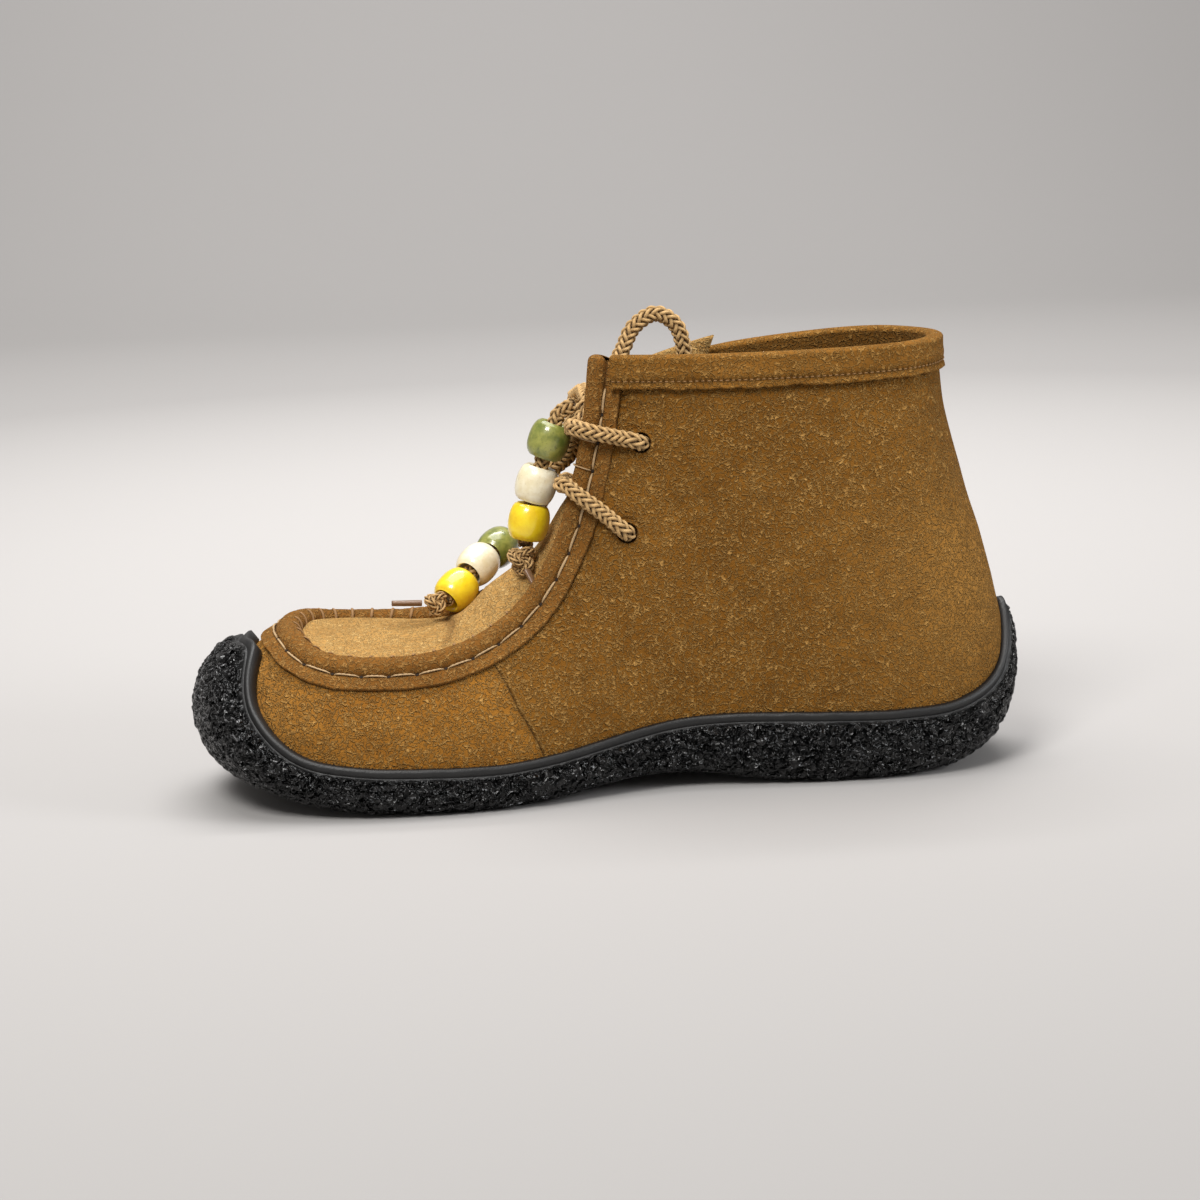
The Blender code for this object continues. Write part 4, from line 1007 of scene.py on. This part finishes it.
def soleColumns():
    s = soleSizes
    pick = lambda rows, arch: [[r[0], r[1], r[2], r[3], r[arch], *r[6:]] for r in rows]
    shares = bothSides(pick(soleRows, 4), pick(soleRows, 5))
    place = np.arange(s["stations"]) * ring / s["stations"]
    toe, heel, side, lip, arch, tip, tuck, flare, footFlare, high, low = between(shares, place).T
    capHeight = topOf(lastRows[0], 1)[2] - s["capDrop"]
    edge = s["foreSide"] + (s["heelSide"] - s["foreSide"]) * side
    edge = edge + (capHeight - s["foreSide"]) * toe + (s["heelCup"] - s["heelSide"]) * heel
    lowClimb, highClimb = np.zeros(len(place)), np.ones(len(place))
    for _ in range(26):
        middle = (lowClimb + highClimb) / 2
        below = face(place, middle)[:, 2] < edge
        lowClimb, highClimb = np.where(below, middle, lowClimb), np.where(below, highClimb, middle)
    top = (lowClimb + highClimb) / 2
    run = np.linalg.norm(face(place, top) - face(place, 0), axis=1)
    step = top * (1 - np.minimum(0.8, s["lipHeight"] / run))
    out, foot, wide = levelOut(place), face(place, 0), last["ballWidth"]
    tread = foot - out * (tuck * wide)[:, None]
    tread[:, 2] = np.maximum(s["archLift"] * arch + s["tipLift"] * tip, 0.0)
    lipOut = last["gap"] + lip * wide
    shoulder = wallPoint(place, step, lipOut + s["lipStep"])
    up = np.array([0, 0, 1.0])
    height = (shoulder - tread)[:, 2]
    under = shoulder + out * (flare * wide)[:, None] - up * (high * height)[:, None]
    over = tread + out * (footFlare * wide)[:, None] + up * (low * height)[:, None]
    wobble = grain(face(place, top), 0.006, 21) * s["lipWobble"]
    down = unit(wallPoint(place, step, lipOut) - wallPoint(place, top, lipOut))
    column = [wallPoint(place, top - 0.02, -last["gap"]), wallPoint(place, top, last["gap"] * 0.5)]
    for a in np.radians((25, 55, 85)):
        spot = wallPoint(place, top, lipOut - s["lipRim"] * (1 - math.sin(a)))
        column.append(spot + down * (s["lipRim"] * (1 - math.cos(a)) + wobble)[:, None])
    for share in (0.25, 0.45, 0.62, 0.76, 0.87, 0.95, 1.0):
        column.append(wallPoint(place, top + (step - top) * share, lipOut + 0.0002 * math.sin(math.pi * share)))
    pebbled = np.concatenate([np.zeros(len(column)), np.minimum(1.0, np.arange(s["sideRows"]) / 3.0)])
    column += [bezier(w, shoulder, under, over, tread) for w in np.linspace(0, 1, s["sideRows"])]
    return np.stack(column, 1), pebbled


def pebble(points):
    # low rounded pads with clefts between them, as on bark; the rubber paints the clefts dark as shade
    bend = np.stack([grain(points, 0.008, k) for k in (31, 32, 33)], -1) * 0.004
    p = points + bend
    wide = 1 - abs(grain(p * (1.0, 1.0, 1.7), 0.0052, 41)) * 4.2
    fine = 1 - abs(grain(p, 0.0023, 42)) * 3.6
    cleft = np.clip(wide, 0, 1) ** 2.0 * 0.75 + np.clip(fine, 0, 1) ** 2.2 * 0.35
    return 0.55 - cleft + grain(p, 0.0032, 43) * 0.5


def makeSole():
    s = soleSizes
    grid, pebbled = soleColumns()
    count, rows = grid.shape[:2]
    around = np.roll(grid, -1, 0) - np.roll(grid, 1, 0)
    down = np.gradient(grid, axis=1)
    out = unit(np.cross(down, around))
    middle = np.array([0, 0, 0.02])
    if ((grid - middle) * out).sum() < 0:
        out = -out
    height = pebble(grid)
    fade = np.clip((rows - 1 - np.arange(rows)) / 5.0, 0.0, 1.0)
    lipNoise = grain(grid, 0.0035, 50) * 0.00010
    push = pebbled * fade * (height * s["pebbles"] - 0.0001) + (1 - pebbled) * lipNoise
    grid = grid + out * push[..., None]
    # the tread: joined across from side to side, with wavy grooves
    strips, half = s["treadStrips"], count // 2
    points, faces = [grid.reshape(-1, 3)], [gridFaces(count, rows, True)]
    near = np.arange(half + 1)
    far = -near % count
    shares = np.linspace(0, 1, strips + 1)
    edge = grid[:, -1]
    across = edge[near][:, None] * (1 - shares[:, None]) + edge[far][:, None] * shares[:, None]
    wave = np.sin(across[..., 0] / s["grooveAlong"] + np.sin(across[..., 1] / s["grooveAcross"]) * 1.6)
    rim = np.minimum(shares, 1 - shares) * np.linalg.norm(edge[near] - edge[far], axis=1)[:, None]
    groove = np.clip((wave - 0.35) / 0.3, 0, 1) * np.clip((rim - 0.004) / 0.0015, 0, 1)
    across[..., 2] += groove * s["groove"]
    points.append(across.reshape(-1, 3))
    faces.append(gridFaces(half + 1, strips + 1, start=count * rows)[:, ::-1])
    piece = meshOf("cup_sole", np.vstack(points), np.vstack(faces)[:, ::-1], blackRubber)
    bottom = np.zeros((half + 1) * (strips + 1))
    setValue(piece, "pebbled", np.concatenate([np.tile(pebbled, count), bottom + 0.6]))
    setValue(piece, "pebble", np.concatenate([np.clip(height + 0.25, 0, 1).ravel(), bottom + 0.3]))
    weld(piece)
    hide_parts("outsole")


def weld(piece, distance=0.00001):
    work = bmesh.new()
    work.from_mesh(piece.data)
    bmesh.ops.remove_doubles(work, verts=work.verts, dist=distance)
    bmesh.ops.recalc_face_normals(work, faces=work.faces)
    work.to_mesh(piece.data)
    work.free()


makeSole()
print("sole made")


# binding: a rolled edge with a stitched flange
bindingSettings = {
    "stations": 760, "around": 26, "toePitch": 0.0082, "throatPitch": 0.0090, "pucker": 0.00042, "edgeWave": 0.00055,
    "thread": 0.00042, "threadLength": 0.86, "wraps": (17, 18), "hole": 0.00052, "innerPitch": 0.0070,
    "innerThread": (0.00055, 0.00036), "innerSpan": 7.4,
}


def edgeLine(span, count):
    place = np.linspace(-span, span, count)
    return place, arcLength(face(place, 1.0))


def stitchPhase(place):
    # how far along its stitch each place is; whole numbers are the holes
    s = bindingSettings
    fine, line = edgeLine(corner, 2400)
    pitch = s["toePitch"] + (s["throatPitch"] - s["toePitch"]) * np.clip((abs(fine) - 4) / 3, 0, 1)
    steps = np.concatenate([[0], np.cumsum(np.diff(line) / pitch[1:])])
    steps -= np.interp(0, fine, steps)
    return np.interp(place, fine, steps), fine, steps


def rollMeets(radius, offset):
    # how far down the wall the round of the roll stands at an offset from the face
    return roll["inset"] + np.sqrt(radius ** 2 - (offset + roll["sink"]) ** 2)


def makeBinding():
    s = bindingSettings
    place = np.linspace(-corner, corner, s["stations"])
    phase = stitchPhase(place)[0]
    near = abs((phase + 0.5) % 1 - 0.5)  # distance in stitches from a hole
    pinch = np.exp(-(near / 0.13) ** 2)
    radius = rollRadius(place) * (1 - 0.035 * pinch)
    inside, outside = -last["wall"] - last["gap"], last["gap"] + roll["skin"] * 0.8
    low, groove = rollMeets(radius, inside), rollMeets(radius, outside)
    start = np.arctan2(inside + roll["sink"], low - roll["inset"])
    finish = np.arctan2(outside + roll["sink"], groove - roll["inset"])
    down, off = [], []
    for i in range(s["around"]):
        angle = start - (start + 2 * math.pi - finish) * i / (s["around"] - 1)
        down.append(roll["inset"] + radius * np.cos(angle))
        off.append(radius * np.sin(angle) - roll["sink"])
    spots = face(place, 0.93)
    flange = roll["flange"] + (grain(spots, 0.007, 61) + grain(spots, 0.0022, 62) * 0.5) * s["edgeWave"]
    skin = last["gap"] + roll["skin"]
    crease = groove + 0.0002
    for share in (0.0, 0.08, 0.2, 0.36, 0.52, 0.68, 0.82, 0.92, 0.97):
        dip = -0.00030 * math.exp(-share * 9) - s["pucker"] * pinch * math.exp(-((share - 0.12) / 0.16) ** 2)
        rise = 0.00022 * (1 - pinch) * math.exp(-((share - 0.30) / 0.2) ** 2)
        down.append(crease + (flange - crease) * share)
        off.append(skin + dip + rise)
    for share, thick in ((0.995, 0.72), (1.0, 0.35), (0.985, 0.02)):
        down.append(crease + (flange - crease) * share)
        off.append(last["gap"] * 0.4 + roll["skin"] * thick + place * 0)
    down, off = np.stack(down, 1), np.stack(off, 1)
    points = edgePoint(place[:, None], down, off)
    # both ends run on and close over
    extra = []
    isRoll = np.arange(down.shape[1]) < s["around"]
    for end, before in ((0, 1), (-1, -2)):
        away = unit(points[end] - points[before])
        centre = points[end][isRoll].mean(0)
        caps = []
        for share in (0.35, 0.65, 0.85, 0.96, 1.0):
            reach = np.where(isRoll, roll["end"] * share, roll["end"] * 0.08 * share)[:, None]
            shrink = np.where(isRoll, math.sqrt(max(0.0, 1 - share ** 2)) * 0.85 + 0.15, 1.0)[:, None]
            flat = centre + (points[end] - centre) * shrink
            caps.append(np.where(isRoll[:, None], flat, points[end]) + away * reach)
        extra.append(caps)
    points = np.concatenate([np.array(extra[0])[::-1], points, np.array(extra[1])])
    around = points.shape[1]
    faces = gridFaces(len(points), around, False, True).tolist()
    for base in (0, (len(points) - 1) * around):
        ringIds = [base + i for i in range(s["around"])]
        faces.append(ringIds if base else ringIds[::-1])
    piece = meshOf("binding_suede", points, faces, edgingSuede)
    shade = np.zeros(points.shape[:2])
    shade[:, s["around"] - 1:s["around"] + 2] = (0.55, 0.8, 0.5)
    shade[:, -3:] = (0.0, 0.25, 0.8)
    shade[:, 0:2] = 0.4
    setValue(piece, "shade", shade)
    weld(piece)
    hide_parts("moc_binding")


def threadTube(points, wide, thick, around=7):
    # a strand as points and faces, flattened a little, its ends drawn in
    path = smoothLine(points, 0.0004)
    size = np.sqrt(np.clip(1 - abs(np.linspace(-1, 1, len(path))) ** 6, 0.02, 1))
    outline = circle(around) * (wide, thick) * size[:, None, None]
    return sweep(path, outline).reshape(-1, 3), tubeFaces(len(path), around)


def gather(name, parts, finish):
    points, faces, start = [], [], 0
    for p, f in parts:
        points.append(p)
        faces += [[i + start for i in poly] for poly in f]
        start += len(p)
    piece = meshOf(name, np.vstack(points), faces, finish)
    return piece


def dimple(centre, out, radius):
    # a small disc for a hole, its rim lower than its middle, coloured dark as painted shade in the hole
    count = 12
    along = unit(np.cross(out, (0.1, 0.2, 1.0)))
    rim = circle(count) @ np.stack([along, np.cross(along, out)]) * radius
    points = [centre + out * 0.00012]
    for share, lift in ((0.6, 0.00012), (1.0, 0.00006)):
        points += list(centre + out * lift + rim * share)
    pairs = [(1 + i, 1 + (i + 1) % count) for i in range(count)]
    faces = [[0, a, b] for a, b in pairs] + [[a, a + count, b + count, b] for a, b in pairs]
    return np.array(points), faces


def makeStitches():
    s = bindingSettings
    _, fine, steps = stitchPhase(0.0)
    total = int(min(-steps[0], steps[-1]) - 0.3)
    skin = last["gap"] + roll["skin"]
    threads, holes = [], []
    for k in range(-total, total):
        reach = np.array([-0.5, 0.5]) * s["threadLength"]
        place = np.linspace(*np.interp(k + 0.5 + reach, steps, fine), 9)
        groove = rollMeets(rollRadius(place), last["gap"] + roll["skin"] * 0.8) + 0.0005
        bow = 0.0008 * np.sin(np.linspace(0, math.pi, 9)) ** 0.5
        down = groove + (((k * 37) % 11) / 11 - 0.5) * 0.00025  # each stitch sits a little off the line
        line = edgePoint(place, down, skin - 0.0003 + bow)
        threads.append(threadTube(line, s["thread"], s["thread"] * 0.62))
        for twist in (-1, 1):
            ply = edgePoint(place, down + 0.00016 * twist * np.cos(np.linspace(0, 5 * math.pi, 9)), skin - 0.0002 + bow)
            threads.append(threadTube(ply, s["thread"] * 0.5, s["thread"] * 0.45, around=6))
        hole = np.interp(k, steps, fine)
        spot = edgePoint(hole, float(groove[0]), skin - 0.00025)
        out = edgeFrame(np.array([hole]), throatSpan)[3][0]
        holes.append(dimple(spot.reshape(3), out, s["hole"]))
    # wraps over the roll beside the throat
    for way in (1, -1):
        for k in s["wraps"]:
            place = np.interp(way * k, steps, fine)
            radius = float(rollRadius(place)) + 0.00025
            turns = np.radians(np.linspace(28, 170, 9))
            drift = np.linspace(0.0, 0.05, 9) * way
            down = np.minimum(roll["inset"] + radius * np.cos(turns), 0.004)
            line = edgePoint(place + drift, down, radius * np.sin(turns) - roll["sink"])
            threads.append(threadTube(line, s["thread"] * 1.2, s["thread"] * 0.6))
    gather("binding_thread", threads, threadBeige)
    gather("binding_holes", holes, holeDark)
    # overcast loops where the roll meets the apron
    fine, line = edgeLine(s["innerSpan"], 1400)
    turns, leans = np.radians((120, 140, 160, 182, 200)), np.array((-0.040, -0.020, 0.0, 0.025, 0.050))
    loops = []
    for k in range(int(line[-1] / s["innerPitch"])):
        place = np.interp((k + 0.5) * s["innerPitch"], line, fine)
        radius = float(rollRadius(place)) + 0.00018
        down = np.minimum(0, roll["inset"] + radius * np.cos(turns))
        loop = edgePoint(place + leans, down, radius * np.sin(turns) - roll["sink"])
        loops.append(threadTube(loop, *s["innerThread"]))
    gather("apron_thread", loops, threadTan)


makeBinding()
makeStitches()
print("binding made")


# collar band: turned over the edge, raw below a stitch row
bandSettings = {
    "stations": 640, "start": 12.26, "deep": 0.0091, "skin": 0.0014, "rowDown": 0.0066, "pitch": 0.0019,
    "dip": 0.00034, "thread": (0.00024, 0.0002),
}


def makeCollarBand():
    s = bandSettings
    place = np.linspace(s["start"], ring - s["start"], s["stations"])
    line = arcLength(face(place, 1.0))
    beat = np.cos(2 * math.pi * line / s["pitch"])
    overFlange = np.clip((s["start"] + 0.20 - np.minimum(place, ring - place)) / 0.05, 0, 1)
    out = last["gap"] + overFlange * (roll["skin"] + last["gap"])
    inside, skin = -last["wall"] - last["gap"], s["skin"]
    ragged = grain(face(place, 0.9), 0.004, 71) * 0.0009 + grain(face(place, 0.9), 0.0013, 72) * 0.0005
    # rows round the band: down the wall, off its face, how dark
    rows = [(s["deep"] * 0.85, inside - skin * 0.05, 0.6), (s["deep"] * 0.85, inside - skin * 0.95, 0.42)]
    rows += [(s["deep"] * share, inside - skin, 0.42) for share in (0.6, 0.3, 0.0)]
    half, centre = (out - inside) / 2 + skin, (out + inside) / 2
    for a in np.radians(range(0, 181, 15)):
        rows.append((-last["gap"] - skin * math.sin(a), centre - half * math.cos(a), 0.0))
    for share in np.linspace(0.06, 0.985, 22):
        d = s["deep"] * share
        close = math.exp(-((d - s["rowDown"]) / 0.00075) ** 2)
        swell = 0.00022 * math.exp(-((d - s["rowDown"] + 0.0022) / 0.0014) ** 2)
        swell += 0.00030 * math.exp(-((d - s["deep"]) / 0.0012) ** 2)
        dip = close * s["dip"] * (0.55 + 0.45 * beat)
        rows.append((d + ragged * share ** 6, out + skin - dip + swell, close * (0.25 + 0.55 * np.clip(beat, 0, 1))))
    edge = s["deep"] + ragged
    rows += [(edge + 0.0002, out + skin * 0.62, 0.1), (edge + 0.0001, out + skin * 0.10, 0.75)]
    rows.append((edge - 0.0012, out - last["gap"] * 0.5, 1.0))
    down, off, shade = (np.stack([part + place * 0 for part in parts], 1) for parts in zip(*rows))
    points = edgePoint(place[:, None], down, off, collarSpan)
    piece = meshOf("collar_suede", points, tubeFaces(*points.shape[:2]), collarSuede)
    setValue(piece, "shade", shade)
    weld(piece, 0.000005)
    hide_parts("collar_band")
    # the stitch row itself: short threads between the holes
    threads = []
    for k in range(int(line[-1] / s["pitch"])):
        marks = np.interp((k + np.array([0.20, 0.5, 0.80])) * s["pitch"], line, place)
        lift = np.interp(marks, place, out) + skin - 0.00018
        run = edgePoint(marks, s["rowDown"], lift + np.array([0, 0.00022, 0]), collarSpan)
        threads.append(threadTube(run, *s["thread"], around=5))
    gather("collar_thread", threads, threadTan)


makeCollarBand()
print("collar made")


# apron and tongue in one piece, with a fold where it climbs
apronSettings = {"rows": 240, "across": 84, "thick": 0.0018, "tongueDepth": 0.0066, "fold": 0.0010, "foldAt": -0.0512}
# place on the edge, turn round the roll, centreX centreZ roundness
apronRows = [
    (0.12, 6, -0.3822, 0.372, 2.0), (0.60, 8, -0.379, 0.370, 2.0), (1.30, 10, -0.372, 0.366, 2.0),
    (2.00, 16, -0.357, 0.361, 2.0), (2.70, 20, -0.335, 0.357, 2.0), (3.50, 24, -0.307, 0.354, 2.0),
    (4.25, 28, -0.270, 0.354, 2.0), (5.00, 34, -0.236, 0.358, 2.0), (5.60, 44, -0.202, 0.370, 1.8),
    (6.20, 58, -0.175, 0.405, 1.5), (6.80, 74, -0.150, 0.452, 1.5),
]
# sideX sideZ, centreX centreZ lift roundness
tongueRows = [
    (-0.096, 0.415, -0.128, 0.482, 0.00, 1.6), (-0.066, 0.490, -0.0975, 0.524, 0.00, 1.8),
    (-0.038, 0.575, -0.074, 0.572, 0.00, 2.0), (-0.012, 0.660, -0.054, 0.630, 0.00, 2.1),
    (0.016, 0.745, -0.0285, 0.700, 0.00, 2.3), (0.054, 0.820, -0.015, 0.770, 0.00, 2.5),
    (0.100, 0.890, -0.005, 0.850, 0.00, 2.7), (0.139, 0.940, 0.003, 0.920, 0.118, 2.8),
]


def apronEdge(place, turn):
    top, _, down, out = edgeFrame(np.array([float(place)]), throatSpan)
    centre = top + down * roll["inset"] - out * roll["sink"]
    a = math.radians(turn)
    away = float(rollRadius(place)) + last["gap"] + apronSettings["thick"] / 2 * math.sin(a)
    return (centre - away * (down * math.cos(a) + out * math.sin(a)))[0]


def makeApron():
    s = apronSettings
    nears, fars, middles, rounds = [], [], [], []
    for place, turn, x, z, roundness in apronRows:
        nears.append(apronEdge(place, turn))
        fars.append(apronEdge(-place, turn))
        middles.append((x * last["length"], z * last["collar"]))
        rounds.append(roundness)
    for sideX, sideZ, x, z, lift, roundness in tongueRows:
        for side, found in ((-1, nears), (1, fars)):
            slack = max(side, 0)
            height = last["collar"] - last["collarDip"] * slack
            p, c = onWall(side, sideX * last["length"] + last["throatLag"] * slack, sideZ * height)
            point = wallPoint(p, c, -s["tongueDepth"]).reshape(3)
            point[2] += lift * last["collar"] * slack
            found.append(point)
        middles.append((x * last["length"], z * last["collar"]))
        rounds.append(roundness)
    keys = np.column_stack([np.array(nears), np.array(fars), np.array(middles), np.array(rounds)])
    reach = np.concatenate([[0], np.cumsum(np.linalg.norm(np.diff(keys[:, 6:8], axis=0), axis=1) + 0.004)])
    marks = np.linspace(0, reach[-1], s["rows"])
    index = np.clip(np.searchsorted(reach, marks, side="right") - 1, 0, len(reach) - 2)
    w = ((marks - reach[index]) / (reach[index + 1] - reach[index]))[:, None]
    padded = np.vstack([2 * keys[:1] - keys[1:2], keys, 2 * keys[-1:] - keys[-2:-1]])
    a, b, c, d = (padded[index + k] for k in range(4))
    rows = hermite(w, b, c, (c - a) / 2, (d - b) / 2)
    near, far, middle, roundness = rows[:, :3], rows[:, 3:6], rows[:, 6:8], rows[:, 8]
    share = np.linspace(-1, 1, s["across"])
    rise = np.zeros((len(rows), 3))
    rise[:, [0, 2]] = middle - ((near + far) / 2)[:, [0, 2]]
    base = near[:, None] * (1 - share[:, None]) / 2 + far[:, None] * (1 + share[:, None]) / 2
    grid = base + rise[:, None] * ((1 - share ** 2)[None] ** (2 / roundness[:, None]))[..., None]
    out = unit(np.cross(np.gradient(grid, axis=1), np.gradient(grid, axis=0)))
    if out[40, 40, 2] < 0:
        out = -out
    inner = np.clip((1 - abs(share)) / 0.12, 0, 1)[None]
    soft = (grain(grid, 0.024, 81) * 0.0012 + grain(grid, 0.010, 82) * 0.0003) * inner
    behind = grid[..., 0] - s["foldAt"] + 0.006 * share ** 2
    crease = -s["fold"] * np.exp(-(behind / 0.0016) ** 2) * np.clip(1.15 - abs(share), 0, 1)
    grid = grid + out * (soft + crease)[..., None]
    upper, lower = grid + out * s["thick"] / 2, grid - out * s["thick"] / 2
    count, wide = grid.shape[:2]
    top, bottom = gridFaces(count, wide), gridFaces(count, wide, start=count * wide)[:, ::-1]
    rim = [(r, 0) for r in range(count)] + [(count - 1, c) for c in range(1, wide)]
    rim += [(r, wide - 1) for r in range(count - 2, -1, -1)] + [(0, c) for c in range(wide - 2, 0, -1)]
    ids = [r * wide + c for r, c in rim]
    sides = [[a, b, b + count * wide, a + count * wide] for a, b in zip(ids, ids[1:] + ids[:1])]
    piece = meshOf("apron_suede", np.stack([upper, lower]), np.vstack([top, bottom, sides]), apronSuede)
    setValue(piece, "shade", np.tile(np.clip(-crease / s["fold"], 0, 1).ravel() * 0.6, 2))
    weld(piece)
    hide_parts("apron_tongue")


makeApron()
for holder in frame["nodes"]["insole"].material_slots:
    holder.material = liningSuede.material
print("apron made")


# floor and light
studio = {
    "floor": (0.425, 0.412, 0.405), "world": (0.72, 0.70, 0.68), "worldStrength": 0.40,
    "pool": {"centre": (0.05, 0.30, 0.0), "reach": 0.80, "dim": 0.70},  # painted pool of light: the paper darkens away from here
    "sweep": {"front": -2.2, "bend": 1.5, "radius": 0.9, "top": 3.2, "halfWidth": 3.5},
    # name, place, what it points at, size, power, colour
    "lights": [
        ("key", (-0.45, -0.85, 1.15), (0, 0, 0.06), 0.5, 17.0, (1.0, 0.985, 0.96)),
        ("top", (-0.05, 0.15, 1.35), (0, 0, 0.06), 1.1, 17.0, (1.0, 0.99, 0.98)),
        ("fill", (1.25, -0.55, 0.60), (0, 0, 0.06), 0.5, 9.0, (0.96, 0.98, 1.0)),
        ("back", (0.1, 0.75, 1.5), (0, 2.3, 0.35), 1.0, 38.0, (1.0, 0.99, 0.98)),
    ],
}


def makeStudio():
    f = Finish("studioPaper")
    pool, s = studio["pool"], studio["sweep"]
    # painted pool of light: the paper is darker further from the pool's centre
    reach = f.vector("DISTANCE", f.place(), pool["centre"], output="Value") / pool["reach"]
    dim = (reach * reach).clamp() * 0.9 + f.noise(0.6, 2) * 0.1
    paper = f.colours(dim, studio["floor"], tuple(c * pool["dim"] for c in studio["floor"]))
    f.feed(Base_Color=paper, Roughness=0.8, Specular_IOR_Level=0.1)
    line = [(s["front"], 0.0), (s["bend"], 0.0)]
    for a in np.linspace(0.1, math.pi / 2, 14):
        line.append((s["bend"] + s["radius"] * math.sin(a), s["radius"] * (1 - math.cos(a))))
    line.append((s["bend"] + s["radius"], s["top"]))
    points = [(x, y, z) for x in np.linspace(-s["halfWidth"], s["halfWidth"], 3) for y, z in line]
    mesh = bpy.data.meshes.new("studio_sweep")
    mesh.from_pydata(points, [], gridFaces(3, len(line)).tolist())
    mesh.shade_smooth()
    mesh.materials.append(f.material)
    sweepFloor = bpy.data.objects.new("studio_sweep", mesh)
    bpy.context.scene.collection.objects.link(sweepFloor)
    world = bpy.data.worlds.new("studio")
    world.use_nodes = True
    world.node_tree.nodes["Background"].inputs[0].default_value = (*studio["world"], 1.0)
    world.node_tree.nodes["Background"].inputs[1].default_value = studio["worldStrength"]
    bpy.context.scene.world = world
    for name, where, target, size, power, colour in studio["lights"]:
        light = bpy.data.lights.new(name, "AREA")
        light.size, light.energy, light.color = size, power, colour
        lamp = bpy.data.objects.new(name, light)
        lamp.location = where
        lamp.rotation_euler = (Vector(target) - Vector(where)).to_track_quat("-Z", "Y").to_euler()
        bpy.context.scene.collection.objects.link(lamp)


makeStudio()
print("studio lit")
